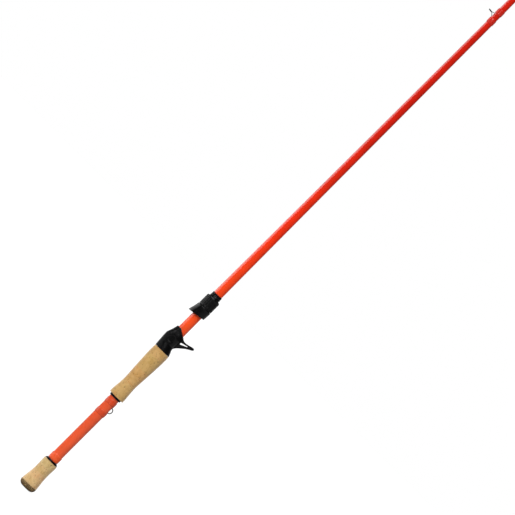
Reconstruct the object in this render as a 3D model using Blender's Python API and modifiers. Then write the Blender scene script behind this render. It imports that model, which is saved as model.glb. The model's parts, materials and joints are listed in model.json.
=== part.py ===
"""Casting rod with a split cork handle, an exposed-blank reel seat and a finger trigger.

Metres. +Z runs from the butt to the tip, -X is the side of the reel and the guides, and +X is
the side of the trigger. The origin is the middle of the butt cap's flat end.
"""

import math

import bmesh
import bpy
from mathutils import Vector

# Whole rod
ROD_LENGTH = 2.134
BLANK_TAPER = (  # height and outer diameter
    (0.000, 0.01570),
    (0.335, 0.01490),
    (0.400, 0.01400),
    (0.540, 0.01260),
    (0.700, 0.01155),
    (0.952, 0.00980),
    (2.134, 0.00200),
)
BORE_AT_BUTT = 0.84  # the blank's inner radius as a share of its outer one
BORE_AT_TIP = 0.55

# Clearances
GAP = 0.0003  # between neighbouring pieces along the rod
GLUE = 0.00015  # round a piece that is glued on the blank
THREAD_GAP = 0.00008  # round a foot under its thread wrap
OVERLAP = 0.0001  # how far pieces that are joined into one run into each other

# Cutters
PAST = 0.002  # how far a cutter runs past the face that it cuts
OUTSIDE = 0.020  # a distance from the rod's axis that clears the handle

# Facets round a circle
SIDES = 24
RING_SIDES = 16
THREAD_POINTS = 24

# Handle
BUTT_CAP_TOP = 0.0077
BUTT_CAP_RADIUS = 0.0134
BUTT_FLAT_RADIUS = 0.0060
BUTT_SOCKET_FLOOR = 0.0022
REAR_GRIP = (0.0077, 0.0510)
REAR_GRIP_RINGS = 4
REAR_GRIP_SHAPE = (  # height and radius
    (0.0077, 0.01330),
    (0.0140, 0.01280),
    (0.0210, 0.01185),
    (0.0260, 0.01140),
    (0.0360, 0.01110),
    (0.0450, 0.01150),
    (0.0510, 0.01150),
)
REAR_CHECK = (0.0513, 0.0541)
REAR_CHECK_RADII = (0.01090, 0.00860)
TRIM_WRAP = (0.0545, 0.0650)
TRIM_WRAP_WALL = 0.0006
CHECK_EDGE = 0.0006  # the narrow step or chamfer round a winding check
GRIP_CHECK = (0.1771, 0.1799)
GRIP_CHECK_RADIUS = 0.0095
FRONT_GRIP = (0.1802, 0.2710)
FRONT_GRIP_RINGS = 7
FRONT_GRIP_SHAPE = (
    (0.1802, 0.01225),
    (0.1870, 0.01210),
    (0.1940, 0.01145),
    (0.2010, 0.01090),
    (0.2080, 0.01060),
    (0.2180, 0.01110),
    (0.2300, 0.01185),
    (0.2420, 0.01250),
    (0.2550, 0.01310),
    (0.2630, 0.01325),
    (0.2710, 0.01300),
)

# Hook keeper
KEEPER_MIDDLE = 0.1598
KEEPER_REACH = 0.0123  # from the rod's axis to the outside of the loop
KEEPER_WIRE = 0.00065
KEEPER_FOOT_WIRE = 0.00018
KEEPER_LOOP_RADIUS = 0.0042
KEEPER_FOOT = 0.0085
KEEPER_BEND = 0.0008  # length over which the loop runs out into a foot
KEEPER_BARE = 0.0014  # from the loop to its wraps
KEEPER_WRAP_WALL = 0.0007

# Reel seat body: height, reach to the reel side, reach to the trigger side, half width, and
# squareness, where 2 is an ellipse
SEAT_SECTIONS = (
    (0.2712, 0.01315, 0.01300, 0.01300, 2.05),
    (0.2760, 0.01350, 0.01120, 0.01250, 2.20),
    (0.2800, 0.01375, 0.00920, 0.01205, 2.35),
    (0.2835, 0.01400, 0.00880, 0.01165, 2.50),
    (0.2900, 0.01435, 0.00940, 0.01130, 3.00),
    (0.2962, 0.01445, 0.01000, 0.01110, 4.20),
    (0.3010, 0.01290, 0.01000, 0.01080, 3.90),
    (0.3052, 0.01180, 0.00980, 0.01040, 3.70),
    (0.3120, 0.01034, 0.00940, 0.00985, 3.60),
)
SEAT_SLANT = ((-0.0028, 0.3120), (0.0070, 0.3056))  # the slanted front end, as (x, z)
SEAT_BORE = 0.00815
SEAT_LIP_BORE = 0.0077
SEAT_LIP = 0.3040
ARBOR = (0.2730, 0.3035)
ARBOR_RADIUS = 0.00805
DECK = 0.00865  # from the rod's axis to the face that the reel's foot rests on
FOOT_WIDTH = 0.0136
POCKET_ROOF = 0.0008  # thickness of the moulding over the pocket
POCKET_SIDE = 0.0014
POCKET_FLOOR_Z = 0.2845
POCKET_MOUTH_Z = 0.2962

# Trigger, as (x, z) outlines
TRIGGER_REAR = (
    (0.0084, 0.2827),
    (0.0111, 0.2866),
    (0.0152, 0.2906),
    (0.0222, 0.2962),
    (0.0297, 0.3006),
)
TRIGGER_TIP = (0.0298, 0.3026)
TRIGGER_TIP_RADIUS = 0.0015
TRIGGER_FRONT = (
    (0.0290, 0.3045),
    (0.0255, 0.3039),
    (0.0197, 0.3023),
    (0.0144, 0.3018),
    (0.0106, 0.3031),
    (0.0089, 0.3040),
)
TRIGGER_ROOT = 0.0040
TRIGGER_WINDOW = (
    (0.0108, 0.2948),
    (0.0108, 0.2974),
    (0.0154, 0.2987),
    (0.0218, 0.3004),
    (0.0214, 0.2993),
    (0.0154, 0.2966),
)
TRIGGER_WIDTH = 0.0084
TRIGGER_TIP_WIDTH = 0.0056
TRIGGER_ROUNDING = 0.0011

# Threaded barrel, sliding hood and locking nut
BARREL = (0.3430, 0.3786)
BARREL_BORE = 0.00755
BARREL_ROOT = 0.0080
THREAD_CREST = 0.00855
THREAD_PITCH = 0.0025
THREAD_START = 0.3565
THREAD_TURNS = 8
THREAD_CLEARANCE = 0.0003
KEY_WIDTH = 0.0024
KEY_CLEARANCE = 0.0002
KEY_FLOOR = 0.00775
KEY_TIP = 0.0081
KEY_ROOT = 0.0008  # how far the key starts inside the hood's wall
KEY = (0.3470, 0.3535)
KEYWAY = (0.3420, 0.3770)
END_RING = (0.3789, 0.3815)
END_RING_RADII = (0.0073, 0.0080)

# Hood: height, reach to the reel side, reach to the trigger side, half width
HOOD_SECTIONS = (
    (0.3387, 0.01530, 0.01060, 0.01150),
    (0.3427, 0.01440, 0.01090, 0.01140),
    (0.3468, 0.01320, 0.01115, 0.01130),
    (0.3510, 0.01235, 0.01140, 0.01120),
    (0.3553, 0.01170, 0.01140, 0.01120),
)
HOOD_SQUARENESS = 2.25
HOOD_SLANT = ((-0.0153, 0.3387), (0.0109, 0.3424))
HOOD_BORE = 0.0087
HOOD_FLOOR = 0.00895
HOOD_POCKET_END = 0.3505
HOOD_ROOF = 0.0007
HOOD_SIDE = 0.0014
HOOD_SKIRT = (0.3545, 0.3585)
HOOD_SKIRT_RADIUS = 0.00955
CLIP_GROOVE = (0.3569, 0.3579)
CLIP = (0.3571, 0.3577)
CLIP_RADII = (0.00935, 0.00995)
SKIRT_GROOVE_RADIUS = 0.00925
NUT_GROOVE_RADIUS = 0.01005

NUT = (0.3556, 0.3740)
NUT_RADIUS = 0.0112
NUT_CHAMFER = 0.0013
NUT_REAR_EDGE = 0.0006
NUT_SEAT_RADIUS = 0.00975
NUT_SEAT_TOP = 0.3590
NUT_LAND = (0.3590, 0.3665)
NUT_MINOR = 0.0083
NUT_FRONT_BORE = 0.00895
NUT_FLUTES = 20
NUT_FLUTE_RADIUS = 0.0009
NUT_FLUTE_SPAN = (0.3578, 0.3715)

# Guides
STRIPPER_Z = 0.9330
STRIPPER_HEIGHT = 0.0117  # of the ring's middle over the rod's axis
STRIPPER_RADIUS = 0.0030
STRIPPER_TILT = math.radians(-8)  # the far side of every ring leans towards the tip
STRIPPER_LEGS = (0.0046, 0.0016)  # from the ring back to the rear foot and on to the front foot
RUNNERS = 7
FIRST_SPACING = 0.100  # from the tip-top to the first runner
FIRST_RUNNER_RADIUS = 0.0027
LAST_RUNNER_RADIUS = 0.0022
RUNNER_CLEARANCE = 0.0019  # from the blank to the lowest point of a runner's ring
RUNNER_LEG = 0.0030  # from the ring back to the foot
RING_BAND = 0.00035
RING_BAND_LENGTH = 0.0013
RING_LENGTH = 0.0019
RING_CLEARANCE = 0.00006
RING_OPEN = 0.70  # a ring's inner radius as a share of its outer one
FOOT_THICKNESS = 0.0002
FOOT_LENGTH = 0.0085
FOOT_HALF_WIDTH = 0.00015
FOOT_SPREAD = 0.15  # of the blank's radius, added to a foot's half width
LEG_THICKNESS = 0.0008
WRAP_WALL = 0.00055
WRAP_END_DROP = 0.6  # how much of its wall a wrap loses towards its ends
FOOT_BARE = 0.0010
WRAP_MARGIN = 0.0015
TIP_RADIUS = 0.0021
TIP_TUBE = (0.0155, 0.0010)  # start and end, measured back from the tip
TIP_TUBE_BORE = 0.00115
TIP_TUBE_RADIUS = 0.0015
TIP_RING_HEIGHT = 0.0034
TIP_STRUT_WIRE = 0.0003
TIP_WRAP = (0.0220, 0.0158)

LOOKS = {  # colour, roughness, metallic
    "blank_orange": ((0.83, 0.085, 0.020), 0.18, 0.0),
    "cork": ((0.62, 0.42, 0.22), 0.75, 0.0),
    "rubber_cork": ((0.20, 0.12, 0.055), 0.80, 0.0),
    "black_metal": ((0.012, 0.012, 0.013), 0.35, 1.0),
    "seat_black": ((0.010, 0.011, 0.012), 0.32, 0.0),
    "thread_wrap": ((0.55, 0.030, 0.012), 0.20, 0.0),
    "keeper_steel": ((0.10, 0.10, 0.11), 0.30, 1.0),
    "guide_black": ((0.015, 0.015, 0.016), 0.30, 1.0),
    "ring_ceramic": ((0.030, 0.030, 0.034), 0.10, 0.0),
    "arbor_fibre": ((0.50, 0.45, 0.33), 0.70, 0.0),
    "spring_steel": ((0.45, 0.45, 0.46), 0.30, 1.0),
}


def clear_scene():
    for obj in list(bpy.data.objects):
        bpy.data.objects.remove(obj)


def new_collection(name):
    made = bpy.data.collections.new(name)
    bpy.context.scene.collection.children.link(made)
    return made


def make_looks():
    made = {}
    for name, (colour, roughness, metallic) in LOOKS.items():
        look = bpy.data.materials.new(name)
        look.use_nodes = True
        shader = look.node_tree.nodes["Principled BSDF"]
        shader.inputs["Base Color"].default_value = (*colour, 1.0)
        shader.inputs["Roughness"].default_value = roughness
        shader.inputs["Metallic"].default_value = metallic
        made[name] = look
    return made


clear_scene()
ROD = new_collection("casting_rod")
CUTTERS = new_collection("cutters")
looks = make_looks()


def straight(points, at):
    """The value at a height on the straight lines between (height, value) points."""
    for (z0, v0), (z1, v1) in zip(points, points[1:]):
        if at <= z1:
            return v0 + (v1 - v0) * (at - z0) / (z1 - z0)
    return points[-1][1]


def curved(points, at):
    """The value at a height on a smooth curve through (height, value) points."""
    slopes = [(b[1] - a[1]) / (b[0] - a[0]) for a, b in zip(points, points[1:])]
    ends = [slopes[0], *((a + b) / 2 for a, b in zip(slopes, slopes[1:])), slopes[-1]]
    for i, ((z0, v0), (z1, v1)) in enumerate(zip(points, points[1:])):
        if at <= z1 + 1e-9:
            span = z1 - z0
            t = (at - z0) / span
            rise = (2 * t**3 - 3 * t**2 + 1) * v0 + (3 * t**2 - 2 * t**3) * v1
            lean = (t**3 - 2 * t**2 + t) * ends[i] + (t**3 - t**2) * ends[i + 1]
            return rise + lean * span
    return points[-1][1]


def blank_radius(z):
    return straight(BLANK_TAPER, z) / 2


def new_object(name, data, look=None, location=(0, 0, 0), rotation=(0, 0, 0), parent=None):
    """An object in the rod's collection, or among the cutters when it has no look."""
    obj = bpy.data.objects.new(name, data)
    obj.location = location
    obj.rotation_euler = rotation
    obj.parent = parent
    if look is None:
        CUTTERS.objects.link(obj)
        obj.hide_render = True
        obj.display_type = "WIRE"
    else:
        ROD.objects.link(obj)
        data.materials.append(looks[look])
    return obj


def turned(name, profile, look=None, sides=SIDES, **place):
    """A solid of revolution. The profile lists (radius, height) down the outside, then up the inside."""
    mesh = bpy.data.meshes.new(name)
    edges = [(i, i + 1) for i in range(len(profile) - 1)]
    if profile[0][0] > 0:
        edges.append((len(profile) - 1, 0))
    mesh.from_pydata([(r, 0, z) for r, z in profile], edges, [])
    obj = new_object(name, mesh, look, **place)
    turn = obj.modifiers.new("Turn", "SCREW")
    turn.steps = turn.render_steps = sides
    turn.use_merge_vertices = True
    turn.merge_threshold = 1e-6
    turn.use_smooth_shade = True
    return obj


def tube(name, low, high, inner, outer, look=None, **more):
    """A plain ring or tube from height low to height high."""
    profile = [(outer, high), (outer, low), (inner, low), (inner, high)]
    return turned(name, profile, look, **more)


def as_mesh(obj):
    """The mesh object that replaces a curve object, with its caps welded."""
    bpy.context.view_layer.update()
    graph = bpy.context.evaluated_depsgraph_get()
    mesh = bpy.data.meshes.new_from_object(obj.evaluated_get(graph))
    weld = bmesh.new()
    weld.from_mesh(mesh)
    bmesh.ops.remove_doubles(weld, verts=weld.verts, dist=1e-6)
    bmesh.ops.recalc_face_normals(weld, faces=weld.faces)
    weld.to_mesh(mesh)
    weld.free()
    name = obj.name
    placed = obj.matrix_world.copy()
    home = obj.users_collection[0]
    hidden = obj.hide_render
    bpy.data.objects.remove(obj)
    made = bpy.data.objects.new(name, mesh)
    made.matrix_world = placed
    made.hide_render = hidden
    made.display_type = "WIRE" if hidden else "TEXTURED"
    home.objects.link(made)
    return made


def rounded(points, steps=2):
    """The points of a flat path with a smooth curve through them."""
    path = []
    last = len(points) - 1
    for i in range(last):
        before, start = points[max(i - 1, 0)], points[i]
        end, after = points[i + 1], points[min(i + 2, last)]
        for k in range(steps):
            t = k / steps
            place = []
            for p0, p1, p2, p3 in zip(before, start, end, after):
                bend = 2 * p0 - 5 * p1 + 4 * p2 - p3
                twist = 3 * p1 - p0 - 3 * p2 + p3
                place.append(p1 + 0.5 * t * (p2 - p0 + t * (bend + t * twist)))
            path.append(tuple(place))
    path.append(points[-1])
    return path


def plate(name, outlines, width, look=None):
    """A flat plate across Y, from outlines of (x, z). Any outline after the first is a hole."""
    curve = bpy.data.curves.new(name, "CURVE")
    curve.dimensions = "2D"
    curve.fill_mode = "BOTH"
    curve.extrude = width / 2
    for outline in outlines:
        spline = curve.splines.new("POLY")
        spline.points.add(len(outline) - 1)
        for point, (x, z) in zip(spline.points, outline):
            point.co = (x, z, 0, 1)
        spline.use_cyclic_u = True
    obj = new_object(name, curve, look, rotation=(math.pi / 2, 0, 0))
    return as_mesh(obj)


def wire(name, points, radius, look=None, radii=None, twist="MINIMUM"):
    """A round wire through the points. radii scales it at each point."""
    curve = bpy.data.curves.new(name, "CURVE")
    curve.dimensions = "3D"
    curve.twist_mode = twist
    curve.bevel_depth = radius
    curve.bevel_resolution = 0 if look is None else 1
    curve.use_fill_caps = True
    spline = curve.splines.new("POLY")
    spline.points.add(len(points) - 1)
    for i, (point, co) in enumerate(zip(spline.points, points)):
        point.co = (*co, 1)
        point.radius = radii[i] if radii else 1
    return as_mesh(new_object(name, curve, look))


def loft(name, rings, look=None):
    """A closed skin over rings with equal numbers of points, listed from low to high."""
    skin = bmesh.new()
    rows = [[skin.verts.new(co) for co in ring] for ring in rings]
    count = len(rows[0])
    for low, high in zip(rows, rows[1:]):
        for i in range(count):
            j = (i + 1) % count
            skin.faces.new((low[i], low[j], high[j], high[i]))
    skin.faces.new(reversed(rows[0]))
    skin.faces.new(rows[-1])
    mesh = bpy.data.meshes.new(name)
    skin.to_mesh(mesh)
    skin.free()
    return new_object(name, mesh, look)


def inset(section, roof, side):
    """The section with its reel side drawn in by the roof's thickness and its flanks by the side's."""
    z, reel, trigger, half_width, *more = section
    return (z, reel - roof, trigger - side, half_width - side, *more)


def oval(z_at, reel, trigger, half_width, squareness):
    """A rounded section. z_at gives the height of the section at each x."""
    middle = (trigger - reel) / 2
    reach = (trigger + reel) / 2
    ring = []
    for i in range(SIDES):
        angle = math.tau * i / SIDES
        c = math.cos(angle)
        s = math.sin(angle)
        x = middle + reach * math.copysign(abs(c) ** (2 / squareness), c)
        y = half_width * math.copysign(abs(s) ** (2 / squareness), s)
        ring.append((x, y, z_at(x)))
    return ring


def combine(obj, other, operation):
    """Cuts the other object out of obj, or joins it on, and hides the other one."""
    step = obj.modifiers.new(other.name, "BOOLEAN")
    step.object = other
    step.operation = operation
    step.solver = "EXACT"
    return step


def settle(obj):
    """Turns the modifiers into the object's own mesh, smooth on round faces and sharp on edges."""
    bpy.context.view_layer.update()
    graph = bpy.context.evaluated_depsgraph_get()
    mesh = bpy.data.meshes.new_from_object(obj.evaluated_get(graph))
    mesh.shade_smooth()
    mesh.set_sharp_from_angle(angle=math.radians(35))
    obj.modifiers.clear()
    obj.data = mesh
    return obj


def make_blank():
    stations = [z for z, _ in BLANK_TAPER if BUTT_SOCKET_FLOOR + GAP < z < ROD_LENGTH]
    heights = [BUTT_SOCKET_FLOOR + GAP, *stations, ROD_LENGTH - TIP_TUBE[1] - 2 * GAP]
    outside = [(blank_radius(z), z) for z in reversed(heights)]
    inside = []
    for z in heights:
        share = BORE_AT_BUTT + (BORE_AT_TIP - BORE_AT_BUTT) * z / ROD_LENGTH
        inside.append((blank_radius(z) * share, z))
    turned("blank", outside + inside, "blank_orange")


def make_butt_cap():
    """A domed cap with a blind socket for the blank's end."""
    top = BUTT_CAP_TOP - GAP
    socket = blank_radius(0) + GLUE
    steps = 5
    dome = []
    for i in range(steps, -1, -1):
        angle = math.pi / 2 * i / steps
        radius = BUTT_FLAT_RADIUS + (BUTT_CAP_RADIUS - BUTT_FLAT_RADIUS) * math.sin(angle)
        dome.append((radius, top * (1 - math.cos(angle))))
    inside = [(0, BUTT_SOCKET_FLOOR), (socket, BUTT_SOCKET_FLOOR), (socket, top)]
    turned("butt_cap", [*inside, *dome, (0, 0)], "rubber_cork")


def make_grip(name, span, count, shape):
    """A stack of glued cork rings that is turned to the grip's shape."""
    start, end = span
    pitch = (end - start) / count
    for i in range(count):
        low = start + i * pitch
        high = low + pitch - GLUE
        hole = blank_radius(low) + GLUE
        outside = [(curved(shape, z), z) for z in (high, (low + high) / 2, low)]
        profile = [(r, z - low) for r, z in [*outside, (hole, low), (hole, high)]]
        turned(f"{name}_cork_ring_{i + 1}", profile, "cork", location=(0, 0, low))


def make_checks():
    """The black winding checks that finish the ends of the grips, and the trim wrap beside one."""
    low, high = REAR_CHECK
    wide, narrow = REAR_CHECK_RADII
    hole = blank_radius(low) + GLUE
    profile = [(narrow, high - low), (wide, CHECK_EDGE), (wide, 0), (hole, 0), (hole, high - low)]
    turned("rear_winding_check", profile, "black_metal", location=(0, 0, low))

    low, high = GRIP_CHECK
    hole = blank_radius(low) + GLUE
    height = high - low
    profile = [
        (GRIP_CHECK_RADIUS, height),
        (GRIP_CHECK_RADIUS, CHECK_EDGE),
        (GRIP_CHECK_RADIUS - CHECK_EDGE, 0),
        (hole, 0),
        (hole, height),
    ]
    turned("grip_winding_check", profile, "black_metal", location=(0, 0, low))

    low, high = TRIM_WRAP
    hole = blank_radius(low) + GLUE
    outer = hole + TRIM_WRAP_WALL
    tube("rear_trim_wrap", 0, high - low, hole, outer, "thread_wrap", location=(0, 0, low))


def make_wrap(name, low, high, wall, channel=None):
    """Thread over a foot. channel is (side, half width, depth, start, end) of the groove for the foot."""
    inner = [blank_radius(z) + THREAD_GAP for z in (low, high)]
    outer = [blank_radius(z) + wall for z in (low, high)]
    drop = wall * WRAP_END_DROP
    length = high - low
    profile = [
        (outer[1] - drop, length),
        (outer[1], length - wall),
        (outer[0], wall),
        (outer[0] - drop, 0),
        (inner[0], 0),
        (inner[1], length),
    ]
    wrap = turned(name, profile, "thread_wrap", location=(0, 0, low))
    if channel:
        side, half_width, depth, start, end = channel
        far = side * (blank_radius(low) + depth)
        box = [(0, start), (far, start), (far, end), (0, end)]
        cutter = plate(f"{name}_channel", [box], 2 * half_width)
        combine(wrap, cutter, "DIFFERENCE")
        settle(wrap)
    return wrap


def make_hook_keeper():
    """A wire loop on the trigger side with two thin feet, and the wraps that hold them."""
    apex = KEEPER_REACH - KEEPER_WIRE
    rest = blank_radius(KEEPER_MIDDLE) + 2 * THREAD_GAP + KEEPER_FOOT_WIRE
    spring = rest + KEEPER_WIRE - KEEPER_FOOT_WIRE
    half = []
    steps = 6
    for i in range(steps + 1):
        angle = math.pi / 2 * i / steps
        x = spring + (apex - spring) * math.cos(angle)
        half.append((x, KEEPER_LOOP_RADIUS * math.sin(angle), 1.0))
    shrink = KEEPER_FOOT_WIRE / KEEPER_WIRE
    half.append((rest, KEEPER_LOOP_RADIUS + KEEPER_BEND, shrink))
    half.append((rest, KEEPER_LOOP_RADIUS + KEEPER_FOOT, shrink))
    whole = [(x, -z, k) for x, z, k in reversed(half[1:])] + half
    points = [(x, 0, KEEPER_MIDDLE + z) for x, z, _ in whole]
    wire("hook_keeper", points, KEEPER_WIRE, "keeper_steel", [k for _, _, k in whole])

    near = KEEPER_LOOP_RADIUS + KEEPER_BARE
    far = KEEPER_LOOP_RADIUS + KEEPER_FOOT + WRAP_MARGIN
    depth = 3 * THREAD_GAP + 2 * KEEPER_FOOT_WIRE
    groove = (1, KEEPER_FOOT_WIRE + THREAD_GAP, depth)
    reach = KEEPER_LOOP_RADIUS + KEEPER_FOOT + GAP
    low = KEEPER_MIDDLE - far
    high = KEEPER_MIDDLE - near
    channel = (*groove, KEEPER_MIDDLE - reach, high + PAST)
    make_wrap("hook_keeper_wrap_rear", low, high, KEEPER_WRAP_WALL, channel)
    low = KEEPER_MIDDLE + near
    high = KEEPER_MIDDLE + far
    channel = (*groove, low - PAST, KEEPER_MIDDLE + reach)
    make_wrap("hook_keeper_wrap_front", low, high, KEEPER_WRAP_WALL, channel)


def trigger_outline():
    """The trigger's side view, with its tip rounded by an arc."""
    tip_x, tip_z = TRIGGER_TIP
    arc = []
    for degrees in (-70, -25, 20, 65):
        angle = math.radians(degrees)
        x = tip_x + TRIGGER_TIP_RADIUS * math.cos(angle)
        arc.append((x, tip_z + TRIGGER_TIP_RADIUS * math.sin(angle)))
    base = [(TRIGGER_ROOT, TRIGGER_FRONT[-1][1]), (TRIGGER_ROOT, TRIGGER_REAR[0][1])]
    return [*rounded(TRIGGER_REAR), *arc, *TRIGGER_FRONT, *base]


def make_trigger():
    """The trigger's blade, narrower towards its tip and rounded along its edges."""
    blade = plate("trigger_blade", [trigger_outline(), TRIGGER_WINDOW], TRIGGER_WIDTH)
    start = TRIGGER_REAR[0][0]
    reach = TRIGGER_TIP[0] + TRIGGER_TIP_RADIUS - start
    for vert in blade.data.vertices:
        along = max(0.0, (vert.co.x - start) / reach)
        vert.co.z *= 1 + (TRIGGER_TIP_WIDTH / TRIGGER_WIDTH - 1) * along
    rounding = blade.modifiers.new("Rounding", "BEVEL")
    rounding.width = TRIGGER_ROUNDING
    rounding.segments = 2
    rounding.limit_method = "ANGLE"
    rounding.angle_limit = math.radians(60)
    return settle(blade)


def make_seat():
    """The rear half of the reel seat: fixed hood, open deck, finger recess and trigger in one moulding."""
    rings = [oval(lambda x, z=z: z, *section) for z, *section in SEAT_SECTIONS]
    seat = loft("seat_body", rings, "seat_black")

    (x0, z0), (x1, z1) = SEAT_SLANT
    slope = (z1 - z0) / (x1 - x0)
    beyond = z0 + PAST
    front = [(x0, z0), (OUTSIDE, z0 + slope * (OUTSIDE - x0)), (OUTSIDE, beyond), (x0 - PAST, beyond)]
    combine(seat, plate("seat_front_cut", [front], 2 * OUTSIDE), "DIFFERENCE")
    combine(seat, make_trigger(), "UNION")

    end = SEAT_SECTIONS[-1][0] + PAST
    inner = [inset(section, POCKET_ROOF, POCKET_SIDE) for section in SEAT_SECTIONS]
    pocket = loft("seat_pocket", [oval(lambda x, z=z: z, *section) for z, *section in inner])
    low, high = POCKET_FLOOR_Z, POCKET_MOUTH_Z + PAST / 2
    over_deck = [(-DECK, low), (-OUTSIDE, low), (-OUTSIDE, high), (-DECK, high)]
    combine(pocket, plate("seat_pocket_span", [over_deck], FOOT_WIDTH), "INTERSECT")
    combine(seat, settle(pocket), "DIFFERENCE")
    low = POCKET_MOUTH_Z
    open_deck = [(-DECK, low), (-OUTSIDE, low), (-OUTSIDE, end), (-DECK, end)]
    combine(seat, plate("seat_deck", [open_deck], FOOT_WIDTH), "DIFFERENCE")

    start = SEAT_SECTIONS[0][0] - PAST
    bore = [
        (0, end),
        (SEAT_LIP_BORE, end),
        (SEAT_LIP_BORE, SEAT_LIP),
        (SEAT_BORE, SEAT_LIP),
        (SEAT_BORE, start),
        (0, start),
    ]
    combine(seat, turned("seat_bore", bore), "DIFFERENCE")
    settle(seat)

    low, high = ARBOR
    hole = blank_radius(low) + THREAD_GAP
    place = {"location": (0, 0, low)}
    tube("seat_arbor", 0, high - low, hole, ARBOR_RADIUS, "arbor_fibre", **place)


def helix(radius, start, turns):
    points = []
    for i in range(turns * THREAD_POINTS + 1):
        angle = math.tau * i / THREAD_POINTS
        z = start + THREAD_PITCH * i / THREAD_POINTS
        points.append((radius * math.cos(angle), radius * math.sin(angle), z))
    return points


def make_barrel():
    """The threaded barrel that is glued on the blank, with a keyway on the trigger side."""
    low, high = BARREL
    barrel = tube("threaded_barrel", low, high, BARREL_BORE, BARREL_ROOT, "seat_black")
    ridge_size = THREAD_CREST - BARREL_ROOT + OVERLAP
    path = helix(BARREL_ROOT - OVERLAP, THREAD_START, THREAD_TURNS)
    ridge = wire("barrel_thread", path, ridge_size, twist="Z_UP")
    inner = BARREL_BORE - PAST
    trim = tube("barrel_thread_trim", low - PAST, high + PAST, inner, BARREL_BORE + OVERLAP)
    combine(ridge, trim, "DIFFERENCE")
    combine(barrel, settle(ridge), "UNION")
    low, high = KEYWAY
    wide = KEY_WIDTH + 2 * KEY_CLEARANCE
    slot = [(KEY_FLOOR, low), (OUTSIDE, low), (OUTSIDE, high), (KEY_FLOOR, high)]
    combine(barrel, plate("barrel_keyway", [slot], wide), "DIFFERENCE")
    settle(barrel)

    low, high = END_RING
    hole, outer = END_RING_RADII
    place = {"location": (0, 0, low)}
    tube("barrel_end_ring", 0, high - low, hole, outer, "black_metal", **place)


def make_hood(axis):
    """The sliding hood: a pocket for the foot's front end, a key and a skirt that the nut turns on."""
    (x0, z0), (x1, z1) = HOOD_SLANT
    top = HOOD_SECTIONS[-1][0]

    def slanted(z):
        """Heights of a section that leans like the hood's rear edge, less and less towards the nut."""
        share = (top - z) / (top - z0)
        return lambda x: z + share * (z1 - z0) * (x - x0) / (x1 - x0)

    def skin(sections):
        return [oval(slanted(z), *section, HOOD_SQUARENESS) for z, *section in sections]

    hood = loft("sliding_hood", skin(HOOD_SECTIONS), "seat_black")
    inner = [inset(section, HOOD_ROOF, HOOD_SIDE) for section in HOOD_SECTIONS]
    mouth = (inner[0][0] - PAST, *inner[0][1:])
    pocket = loft("hood_pocket", skin([mouth, *inner[1:]]))

    low, high = HOOD_SKIRT
    skirt = [
        (HOOD_SKIRT_RADIUS, high),
        (HOOD_SKIRT_RADIUS, CLIP_GROOVE[1]),
        (SKIRT_GROOVE_RADIUS, CLIP_GROOVE[1]),
        (SKIRT_GROOVE_RADIUS, CLIP_GROOVE[0]),
        (HOOD_SKIRT_RADIUS, CLIP_GROOVE[0]),
        (HOOD_SKIRT_RADIUS, low),
        (HOOD_BORE - OVERLAP, low),
        (HOOD_BORE - OVERLAP, high),
    ]
    combine(hood, turned("hood_skirt", skirt), "UNION")
    start = z0 - PAST
    end = high + PAST
    bore = [(0, end), (HOOD_BORE, end), (HOOD_BORE, start), (0, start)]
    combine(hood, turned("hood_bore", bore), "DIFFERENCE")
    low, high = z0 - 2 * PAST, HOOD_POCKET_END
    span = [(-HOOD_FLOOR, low), (-OUTSIDE, low), (-OUTSIDE, high), (-HOOD_FLOOR, high)]
    combine(pocket, plate("hood_pocket_span", [span], FOOT_WIDTH), "INTERSECT")
    combine(hood, settle(pocket), "DIFFERENCE")
    low, high = KEY
    root = HOOD_BORE + KEY_ROOT
    tooth = [(KEY_TIP, low), (root, low), (root, high), (KEY_TIP, high)]
    combine(hood, plate("hood_key", [tooth], KEY_WIDTH), "UNION")
    settle(hood)
    ride(hood, axis)

    low, high = CLIP
    inner, outer = CLIP_RADII
    tube("hood_retaining_ring", 0, high - low, inner, outer, "spring_steel")
    clip = bpy.data.objects["hood_retaining_ring"]
    clip.location = (0, 0, low)
    ride(clip, axis)


def make_nut(axis):
    """The locking nut: fluted outside, threaded inside, with a groove for the retaining ring."""
    low, high = NUT
    outside = [
        (NUT_RADIUS - NUT_CHAMFER, high),
        (NUT_RADIUS, high - NUT_CHAMFER),
        (NUT_RADIUS, low + NUT_REAR_EDGE),
        (NUT_RADIUS - NUT_REAR_EDGE, low),
    ]
    inside = [
        (NUT_SEAT_RADIUS, low),
        (NUT_SEAT_RADIUS, CLIP_GROOVE[0]),
        (NUT_GROOVE_RADIUS, CLIP_GROOVE[0]),
        (NUT_GROOVE_RADIUS, CLIP_GROOVE[1]),
        (NUT_SEAT_RADIUS, CLIP_GROOVE[1]),
        (NUT_SEAT_RADIUS, NUT_SEAT_TOP),
        (NUT_MINOR, NUT_SEAT_TOP),
        (NUT_MINOR, NUT_LAND[1]),
        (NUT_FRONT_BORE, NUT_LAND[1] + NUT_FRONT_BORE - NUT_MINOR),
        (NUT_FRONT_BORE, high),
    ]
    nut = turned("locking_nut", outside + inside, "seat_black")
    turns = math.ceil((NUT_LAND[1] - NUT_LAND[0]) / THREAD_PITCH) + 2
    before = math.floor((NUT_LAND[0] - THREAD_START) / THREAD_PITCH) - 1
    start = THREAD_START + before * THREAD_PITCH
    size = THREAD_CREST - BARREL_ROOT + OVERLAP + THREAD_CLEARANCE
    path = helix(BARREL_ROOT - OVERLAP, start, turns)
    groove = wire("nut_thread", path, size, twist="Z_UP")
    combine(nut, groove, "DIFFERENCE")
    combine(nut, make_flutes(), "DIFFERENCE")
    settle(nut)
    ride(nut, axis)


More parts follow.
